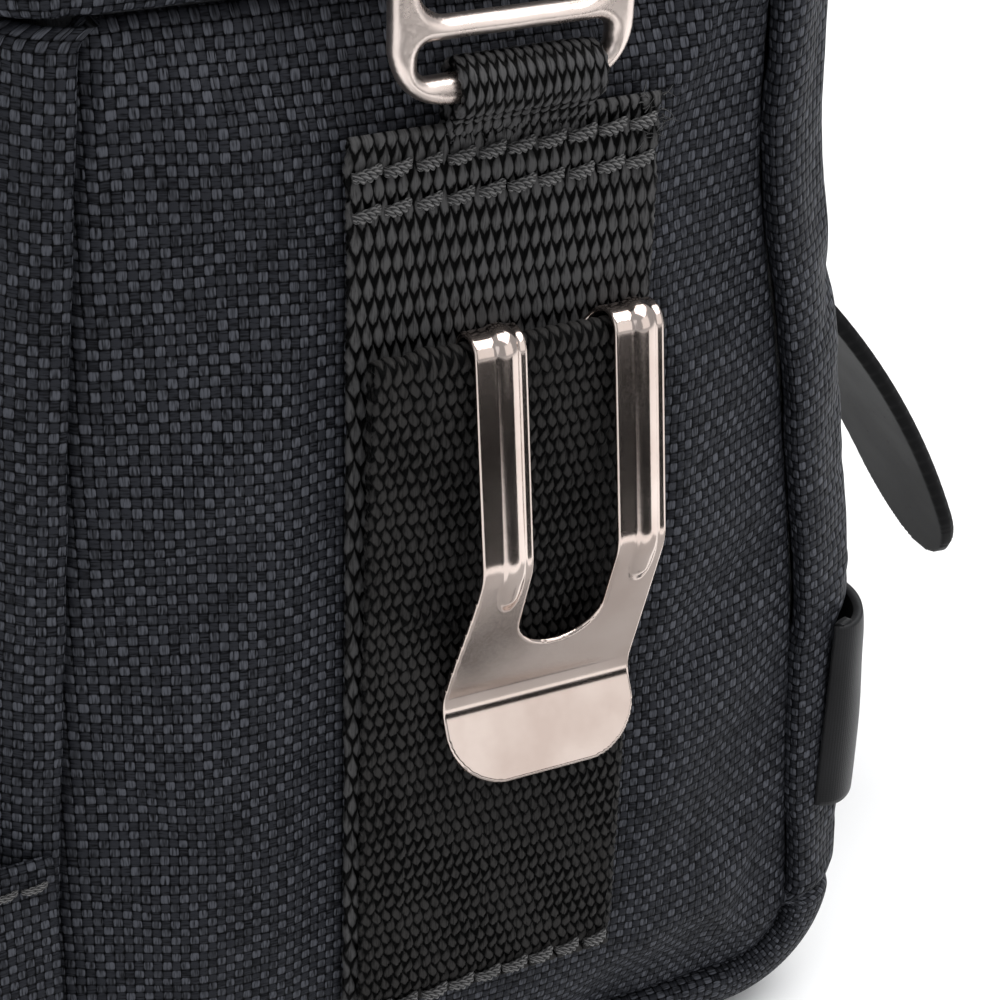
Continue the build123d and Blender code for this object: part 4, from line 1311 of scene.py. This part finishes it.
def ladder_ring():
    """A cast ring with a narrow slot for the webbing and an eye above it."""
    y_low, y_high = RING_LOW[1], RING_HIGH[1]
    z_low, z_high = RING_LOW[2], RING_HIGH[2]
    bar, side, slot_height, mid_bar = 3.4, 3.2, 3.9, 2.6
    slot_low = z_low + bar
    eye_low = slot_low + slot_height + mid_bar

    def inside(y, z):
        body = box_inside(y, z, y_low, y_high, z_low, z_high, 7.0)
        slot = box_inside(y, z, y_low + side, y_high - side, slot_low, slot_low + slot_height, 1.5)
        eye = box_inside(y, z, y_low + side, y_high - side, eye_low, z_high - bar, 3.8)
        return np.minimum(body, np.minimum(-slot, -eye))

    middle = (RING_LOW[0] + RING_HIGH[0]) / 2

    def place(y, z, level):
        uneven = 0.05 * ripple(y, z, 5.0, 41)
        return np.stack([middle + level + uneven, y, z], -1)

    half = (RING_HIGH[0] - RING_LOW[0]) / 2
    return stamped("ring_right_cast", inside, (y_low, z_low), (y_high, z_high), 0.25, place, half, 1.45,
                   "ring_right", RING_NICKEL, "nickel")


ring_right = ladder_ring()
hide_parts("ring_right")
mirrored(ring_right, "ring_left_cast", "ring_left", "ring_left")

# Belt clip: one strip, from the riveted leg over a tight bend into the tapering tongue.
STEEL = 2.4
TONGUE_HALF = LEG_HIGH[0]
TONGUE_TIP_HALF = 10.0
BEND_RADIUS = 3.2
BEND_Z = 105.1
TONGUE_LEANS = (math.radians(47.0), math.radians(23.0))
TONGUE_LENGTH = 83.7


def back_face_y(z):
    return BACK_TOP_Y + (BODY_TOP - z) * BACK_SLOPE


def belt_clip():
    level = 0.2 + STEEL / 2
    leg_bottom = LEG_LOW[2] + 0.2
    tilt_cos = math.cos(BACK_TILT)
    bend_y = back_face_y(BEND_Z) + (level + BEND_RADIUS) / tilt_cos
    points = []
    for z in np.linspace(leg_bottom, BEND_Z - 1.0, 60):
        points.append((back_face_y(z) + level / tilt_cos, z))
    for angle in np.linspace(PI + BACK_TILT, TONGUE_LEANS[0], 60):
        points.append((bend_y + BEND_RADIUS * math.cos(angle), BEND_Z + BEND_RADIUS * math.sin(angle)))
    y, z = points[-1]
    steps = 120
    for index in range(steps):
        lean = TONGUE_LEANS[0] + (TONGUE_LEANS[1] - TONGUE_LEANS[0]) * (index + 0.5) / steps
        y += math.sin(lean) * TONGUE_LENGTH / steps
        z -= math.cos(lean) * TONGUE_LENGTH / steps
        points.append((y, z))
    line = np.array(points)
    rough = np.linalg.norm(np.diff(line, axis=0), axis=1).sum()
    line = smooth_line(resample(line, np.linspace(0, 1, int(rough / 0.4))), 8)
    line = line[::-1].copy()  # from the tip, so that the outer side is the left
    at, lengths = along_path(line)
    total = lengths[-1]
    taper_end = TONGUE_LENGTH - 6.0

    def half_at(s):
        return TONGUE_TIP_HALF + (TONGUE_HALF - TONGUE_TIP_HALF) * np.clip(s / taper_end, 0, 1)

    def inside(x, s):
        half = half_at(s)
        tip = 14.0
        over = np.clip((tip - s) / tip, 0, 1.2)
        rounded = half * np.sqrt(np.maximum(1 - over ** 2, 0.0001))
        sides = np.minimum(half, rounded) - np.abs(x)
        foot = box_inside(x, s, -TONGUE_HALF, TONGUE_HALF, -50.0, total, 3.0)
        return np.minimum(np.minimum(sides * 0.94, foot), s)

    def place(x, s, off):
        y, z = at(s, off)
        return np.stack([x, y, z], -1)

    piece = stamped("belt_clip_strip", inside, (-TONGUE_HALF, 0.0), (TONGUE_HALF, total), 0.42, place,
                    STEEL / 2, 0.9, None, BLACK_STEEL, "black_steel")
    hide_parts("belt_clip_tongue", "belt_clip_leg")
    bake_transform(piece)
    return piece


belt_clip()


RIVET_X, RIVET_Z = (-12.0, 12.0), (76.0, 96.0)


def rivet_heads():
    """Domed heads on the clip's leg."""
    parts = []
    tilt = np.array([0.0, math.cos(BACK_TILT), math.sin(BACK_TILT)])
    up = np.array([0.0, -math.sin(BACK_TILT), math.cos(BACK_TILT)])
    right = np.array([1.0, 0.0, 0.0])
    profile = [(3.9, 0.0), (3.85, 0.25), (3.55, 0.6), (3.0, 0.9), (2.2, 1.12), (1.2, 1.24), (0.0, 1.28)]
    sides = 36
    turn = np.linspace(0, 2 * PI, sides, endpoint=False)
    for x in RIVET_X:
        for z in RIVET_Z:
            centre = np.array([x, back_face_y(z), z]) + tilt * (0.2 + STEEL - 0.02)
            rings = [
                centre + r * (np.cos(turn)[:, None] * right + np.sin(turn)[:, None] * up) + h * tilt
                for r, h in profile[:-1]
            ]
            points = np.concatenate(rings + [[centre + profile[-1][1] * tilt]])
            faces = grid_faces(len(rings), sides, wrap=True).tolist()
            top = len(points) - 1
            last = (len(rings) - 1) * sides
            faces += [[last + i, last + (i + 1) % sides, top] for i in range(sides)]
            faces.append(list(range(sides))[::-1])
            parts.append((points, faces, points[:, :2]))
    points, faces, uv = join(parts)
    piece = new_piece("belt_clip_rivet_heads", points, faces, "pouch", BLACK_STEEL, "black_steel", uv)
    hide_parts("belt_clip_rivets")


rivet_heads()


# ------------------------------------------------------------------ outside pocket and band
HEM_STITCH_DROP = 3.5  # from the pocket's top to its stitch row


def hugging_wall(name, sign, half_x, outer_y, rear_y, corner, low, high, material, slot, step, bulge,
                 bottom=True, hem=0.0, thickness=1.5, lean=0.0, tuck=0.0, seed=61):
    """A wall that wraps round the pouch's front (sign -1) or back (sign 1), from side to side.
    It may turn under at its bottom, and fold over at its hem."""
    quarter = np.linspace(0, PI / 2, 14)
    run_y = abs(outer_y - rear_y) - corner
    plan, out = [], []
    for t in np.linspace(0, 1, max(3, int(run_y / 1.5)), endpoint=False):
        plan.append((half_x, rear_y + sign * run_y * t))
        out.append((1.0, 0.0))
    for angle in quarter:
        ray = (math.cos(angle), sign * math.sin(angle))
        plan.append((half_x - corner + corner * ray[0], outer_y - sign * corner + corner * ray[1]))
        out.append(ray)
    half = np.array(plan), np.array(out)
    flat = np.linspace(half_x - corner, 0, int((half_x - corner) / 1.8) + 1)[1:]
    plan = np.concatenate([half[0], np.stack([flat, np.full(len(flat), outer_y)], -1)])
    out = np.concatenate([half[1], np.tile([0.0, sign], (len(flat), 1))])
    mirror = np.array([-1.0, 1.0])
    plan = np.concatenate([plan, (plan * mirror)[::-1][1:]])
    out = np.concatenate([out, (out * mirror)[::-1][1:]])
    lengths = arc_length(plan)
    # profile: depth in from the outer face, and height
    profile = []
    if bottom:
        turn_in = 5.0
        profile += [(d, low) for d in np.linspace(abs(outer_y - rear_y) * 0.62, turn_in, 8)]
        for angle in np.linspace(0.2, PI / 2, 7):
            profile.append((turn_in - turn_in * math.sin(angle), low + turn_in - turn_in * math.cos(angle)))
    start = profile[-1][1] if profile else low
    heights = np.linspace(start, high - 1.0, int((high - start) / step) + 1)
    profile += [(0.0, z) for z in (heights[1:] if profile else heights)]
    if hem:
        folded = ((0.15, 0.35), (0.7, 0.0), (1.6, 0.1), (2.2, 0.9), (2.4, hem * 0.5), (2.3, hem))
        profile += [(d, high - drop) for d, drop in folded]
    else:
        profile.append((0.2, high))
    profile = np.array(profile)
    rise = arc_length(profile)
    r, c = np.meshgrid(rise, lengths, indexing="ij")
    z = np.broadcast_to(profile[:, 1][:, None], r.shape).copy()
    share = np.clip((z - low) / (high - low), 0, 1)
    edge = np.minimum(c, lengths[-1] - c)
    swell = smooth_step(edge / 16.0)
    lift = bulge * np.sin(PI * np.clip(share, 0, 1) ** 0.8) * swell
    lift += 0.35 * ripple(r, c, 24.0, seed) * swell
    lift += 0.16 * ripple(r * 0.3, c, 6.0, seed + 1) * np.exp(-np.abs(high - 3.4 - z) / 2.5)
    lift += lean * share * np.abs(out[:, 1])[None] - tuck * groove(edge, 4.0)
    lift = np.where(profile[:, 0][:, None] > 3.0, 0.0, lift)
    if hem:
        lift -= 0.28 * groove(z - (high - HEM_STITCH_DROP), 0.8) * (profile[:, 0][:, None] < 1.0)
    shift = lift - profile[:, 0][:, None]
    points = np.empty((*r.shape, 3))
    points[..., 0] = plan[:, 0][None] + out[:, 0][None] * shift
    points[..., 1] = plan[:, 1][None] + out[:, 1][None] * shift
    points[..., 2] = z
    # under the pouch's belly the turned-in bottom only runs back, not sideways
    deep = profile[:, 0] > 3.0
    sideways = np.clip(np.abs(out[:, 0]), 0, 1)[None, :]
    drawn_in = np.minimum(profile[:, 0][:, None], 6.0) * sideways
    kept = np.sign(plan[:, 0])[None, :] * np.maximum(np.abs(plan[:, 0])[None, :] - drawn_in, 0)
    points[deep, :, 0] = kept[deep]
    faces = grid_faces(*r.shape)
    if sign < 0:
        faces = flip(faces)
    piece = new_piece(name, points, faces, "pouch", material, slot, pairs(c, r))
    subdivide(piece)
    thicken(piece, thickness)
    return piece, lengths[-1], rise[-1], plan, out


pocket, pocket_width, pocket_rise, pocket_plan, pocket_out = hugging_wall(
    "front_pocket_wall", -1, POCKET_HIGH[0] - 0.25, POCKET_LOW[1] + 1.0, POCKET_HIGH[1] - 0.2, 12.0,
    POCKET_LOW[2], POCKET_HIGH[2], NYLON, "ballistic_nylon", 2.0, 1.2, hem=7.0, thickness=1.3,
)
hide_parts("front_pocket")

BAND_FRONT_Y = 59.0  # where its sides come out of the side seam
band, band_width, band_rise, _, _ = hugging_wall(
    "back_band_wall", 1, BAND_HIGH[0] - 0.15, BAND_HIGH[1] - 0.5, BAND_FRONT_Y, 10.0,
    BAND_LOW[2], BAND_HIGH[2], BAND_CLOTH, "coated_band", 1.5, 0.3, bottom=False, thickness=1.3, tuck=3.4,
    seed=71,
    lean=-0.5 * BACK_SLOPE * (BAND_HIGH[2] - BAND_LOW[2]),
)
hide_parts("back_band")


def pocket_stitches():
    """The hem's topstitch row, round the pocket from side to side."""
    z = POCKET_HIGH[2] - HEM_STITCH_DROP
    corners = np.column_stack([pocket_plan + pocket_out * 0.15, np.full(len(pocket_plan), z)])
    parts = []
    spots = np.linspace(0.005, 0.995, int(pocket_width / 3.6) + 1)
    line = resample(corners, spots)
    facing = resample(np.column_stack([pocket_out, np.zeros(len(pocket_out))]), spots)
    for a, b, n in zip(line, line[1:], facing):
        parts += stitch_run([a, b], n, 3.6, 0.5, arch=0.5, lean=0.4)
    stitch_piece("front_pocket_stitching", parts)


pocket_stitches()


# ------------------------------------------------------------------ inside
LINING_FACE = 7.4  # from the walls' outer face
LINING_TUCK = 3.0  # how far its top edge runs up into the collar


def lining():
    """The lining: one bag of packcloth inside the walls, a little slack."""
    inset = LINING_FACE
    half = LINING_HIGH[0] - 0.4
    line = LINE + LINE_NORMAL * inset
    radius = 5.0

    def tucked(z):
        return z + LINING_TUCK * smooth_step((z - z.max() + 10.0) / 10.0)

    x, depth, across = both_halves(*rounded_half(half - radius, radius, 16, 7))
    s, c = np.meshgrid(LINE_LENGTH, across, indexing="ij")
    slack = 0.5 * ripple(s, c, 26.0, 81) + 0.25 * ripple(s, c, 9.0, 82)
    slack *= smooth_step((half - np.abs(x))[None] / 12.0)
    slack *= smooth_step(np.minimum(s, LINE_LENGTH[-1] - s) / 8.0)
    inward = depth[None] + np.clip(slack, -0.3, 0.9)
    grid = np.empty((*s.shape, 3))
    grid[..., 0] = x[None]
    grid[..., 1:] = off_line(line, LINE_NORMAL, inward)
    grid[..., 2] = tucked(grid[..., 2])
    strip = (grid.reshape(-1, 3), grid_faces(*s.shape).tolist(), pairs(c, s))
    patch, distance = side_patch(inset + radius, 40, 60, first=1.2)
    y, z = patch[..., 0], tucked(patch[..., 1])
    sag = (0.5 * ripple(y, z, 24.0, 85) + 0.2 * ripple(y, z, 9.0, 86)) * smooth_step(distance / 12.0)
    sides = []
    for sign in (1, -1):
        side_x = sign * (half - np.clip(sag, -0.2, 0.9))
        side = np.stack([side_x, y, z], -1).reshape(-1, 3)
        faces = grid_faces(*y.shape).tolist()
        sides.append((side, flip(faces) if sign > 0 else faces, patch.reshape(-1, 2)))
    points, faces, uv = join([strip, *sides])
    piece = new_piece("lining_bag", points, faces, "pouch", LINING_CLOTH, "lining_cloth", uv)
    thicken(piece, 0.6, offset=0.0)
    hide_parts("lining")
    return piece


lining()


def divider():
    """A padded divider sheet with a bound top edge."""
    half, low, high = DIVIDER_HIGH[0] - 0.3, DIVIDER_LOW[2], DIVIDER_HIGH[2]
    middle = (DIVIDER_LOW[1] + DIVIDER_HIGH[1]) / 2
    x = np.linspace(-half, half, 60)
    z = np.linspace(low + 0.5, high - 1.0, 84)
    zz, xx = np.meshgrid(z, x, indexing="ij")
    limit = np.clip((zz - low) / 5.0, 0, 1)
    xx = xx * (1 - 0.05 * (1 - limit) ** 2)
    y = middle + 0.35 * ripple(xx, zz, 40.0, 91) * smooth_step((half - np.abs(xx)) / 12)
    sheet = np.stack([xx, y, zz], -1)
    faces = grid_faces(*xx.shape)
    piece = new_piece("divider_sheet", sheet, faces, "pouch", LINING_CLOTH, "lining_cloth", pairs(xx, zz))
    thicken(piece, 1.1, offset=0.0)
    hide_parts("divider")
    # the binding: a narrow tape folded over the top edge
    turn = np.linspace(-PI * 0.5, PI * 1.5, 22, endpoint=False)
    top = y[-1]
    across = squared(np.cos(turn), 0.6) * 1.15
    upward = np.where(np.sin(turn) > 0, 1.6, 5.5) * squared(np.sin(turn), 0.7)
    points = np.empty((len(x), len(turn), 3))
    points[..., 0] = x[:, None]
    points[..., 1] = top[:, None] + across[None]
    points[..., 2] = high - 2.0 + upward[None] + 0.12 * ripple(x, x * 0, 9.0, 93)[:, None]
    around = np.arange(len(turn)) * 0.7
    uu, vv = np.meshgrid(x, around, indexing="ij")
    faces = tube_faces(len(x), len(turn))
    binding = new_piece("divider_binding", points, faces, "pouch", ELASTIC, "elastic", pairs(uu, vv))
    subdivide(binding)


divider()


def tool_loops():
    """Elastic sewn to the divider between three standing loops."""
    face = ELASTIC_LOW[1]
    outer = ELASTIC_HIGH[1] - face - 0.1
    spacing, half = 28.0, ELASTIC_HIGH[0]
    low, high = ELASTIC_LOW[2] + 0.1, ELASTIC_HIGH[2] - 0.1
    sheet = 1.2
    radius = outer - sheet / 2
    seated = sheet / 2 + 0.1
    path = [(-half, seated)]
    for centre in (-spacing, 0.0, spacing):
        path.append((centre - radius - 2.0, seated))
        for angle in np.linspace(PI, 0, 26):
            path.append((centre + radius * math.cos(angle), max(radius * math.sin(angle), seated)))
        path.append((centre + radius + 2.0, seated))
    path.append((half, seated))
    line = np.array(path)
    line = smooth_line(resample(line, np.linspace(0, 1, 330)), 3)
    along, normal = path_frame(line)
    z = np.linspace(low, high, 26)
    zz, ss = np.meshgrid(z, along, indexing="ij")
    edge = np.minimum(zz - low, high - zz)
    flare = 0.35 * np.exp(-edge / 2.0) + 0.12 * ripple(zz, ss, 12.0, 95)
    points = np.empty((*zz.shape, 3))
    points[..., 0] = line[:, 0][None] + normal[:, 0][None] * flare
    points[..., 1] = face + line[:, 1][None] + normal[:, 1][None] * flare
    points[..., 2] = zz
    faces = flip(grid_faces(*zz.shape))
    piece = new_piece("tool_loops_elastic", points, faces, "pouch", ELASTIC, "elastic", pairs(ss, zz))
    thicken(piece, sheet, offset=0.0)
    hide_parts("tool_loops")
    parts = []
    y = face + sheet + 0.1
    gap = spacing / 2
    for x in (-half + 3, -gap - 0.8, -gap + 0.8, gap - 0.8, gap + 0.8, half - 3):
        parts += stitch_run([(x, y, low + 1.5), (x, y, high - 1.5)], (0, 1, 0), 3.0, 0.3, arch=0.3)
    stitch_piece("tool_loops_stitching", parts)


tool_loops()

# The hidden stiffeners keep their CAD shape.
for node, material in (
    ("back_board", BOARD_PLASTIC), ("base_board", BOARD_PLASTIC), ("belt_backing_plate", BLACK_STEEL)
):
    for material_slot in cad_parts[node].material_slots:
        material_slot.material = material


# ------------------------------------------------------------------ stage and camera
CAMERA_PLACE = (286.42, -118.65, 255.27)
CAMERA_ANGLES = (62.515, 59.599, 2.299)  # turn about the vertical, tilt up from straight down, and roll


def area_light(name, place, target, size, power, colour=(1, 1, 1)):
    """A soft rectangular light that faces the target, in metres and watts."""
    data = bpy.data.lights.new(name, "AREA")
    data.shape = "RECTANGLE"
    data.size, data.size_y = size
    data.energy = power
    data.color = colour
    light = bpy.data.objects.new(name, data)
    bpy.context.scene.collection.objects.link(light)
    light.location = place
    light.rotation_mode = "QUATERNION"
    light.rotation_quaternion = (Vector(target) - Vector(place)).to_track_quat("-Z", "Y")
    return light


def stage_plane(name, corners, cloth):
    """A flat four-cornered piece of the studio."""
    mesh = bpy.data.meshes.new(name)
    mesh.from_pydata(corners, [], [(0, 1, 2, 3)])
    mesh.materials.append(cloth.material)
    plane = bpy.data.objects.new(name, mesh)
    bpy.context.scene.collection.objects.link(plane)
    return plane


def studio():
    """A pale floor, a pale room and large soft lights."""
    paint = Graph("pale_floor", (0.95, 0.95, 0.95), 0.8, specular_ior_level=0.1)
    size, drop = 12.0, -0.0006
    corners = [(-size, -size, drop), (size, -size, drop), (size, size, drop), (-size, size, drop)]
    stage_plane("floor", corners, paint)
    world = bpy.data.worlds.new("studio")
    bpy.context.scene.world = world
    world.use_nodes = True
    background = world.node_tree.nodes["Background"]
    background.inputs[0].default_value = (0.9, 0.92, 0.95, 1.0)
    background.inputs[1].default_value = 0.45
    target = (0.05, 0.0, 0.1)
    # cards that only mirror-like reflections see, which paint the dark and grey reflections on the tape clip;
    # the grey card on the floor stands for the pouch's shadow there
    dark = Graph("flag_cloth", (0.004, 0.004, 0.004), 0.9, specular_ior_level=0.0)
    grey = Graph("grey_card", (0.42, 0.42, 0.42), 0.9, specular_ior_level=0.0)
    cards = (
        ("flag_low", dark,
         ((0.40, -0.45, 0.0), (0.31, 0.21, 0.0), (0.31, 0.21, 0.085), (0.40, -0.45, 0.085))),
        ("floor_shadow_card", grey,
         ((0.07, -0.06, 0.001), (0.21, -0.06, 0.001), (0.21, 0.2, 0.001), (0.07, 0.2, 0.001))),
        ("flag_streak", dark,
         ((0.086, 0.026, 0.002), (0.094, 0.026, 0.002), (0.100, 0.054, 0.002), (0.097, 0.054, 0.002))),
    )
    for name, cloth, corners in cards:
        card = stage_plane(name, corners, cloth)
        for ray in ("camera", "diffuse", "shadow", "transmission", "volume_scatter"):
            setattr(card, f"visible_{ray}", False)
    area_light("key_softbox", (0.98, 0.43, 0.49), target, (0.95, 0.8), 1.6, (1.0, 0.97, 0.95))
    area_light("top_softbox", (0.15, 0.2, 0.98), target, (1.0, 1.0), 11.5)
    area_light("front_fill", (0.5, -0.75, 0.35), target, (0.6, 0.6), 0.7, (0.95, 0.97, 1.0))
    area_light("back_fill", (-0.7, 0.6, 0.5), target, (0.7, 0.7), 2.5)


def camera():
    """The view's angle: close to the side, from the front and above, turned a little."""
    turn, tilt, roll = (math.radians(angle) for angle in CAMERA_ANGLES)
    data = bpy.data.cameras.new("camera")
    data.sensor_width = 36.0
    data.lens = 91.8
    data.clip_start = 0.01
    data.clip_end = 20.0
    view = bpy.data.objects.new("camera", data)
    bpy.context.scene.collection.objects.link(view)
    facing = Matrix.Rotation(turn, 4, "Z") @ Matrix.Rotation(tilt, 4, "X") @ Matrix.Rotation(roll, 4, "Z")
    view.matrix_world = Matrix.Translation(Vector(CAMERA_PLACE) * MM) @ facing
    bpy.context.scene.camera = view


studio()
camera()
bpy.context.scene.view_settings.view_transform = "Standard"
bpy.context.scene.view_settings.look = "None"

# ------------------------------------------------------------------ the end
bpy.context.view_layer.update()
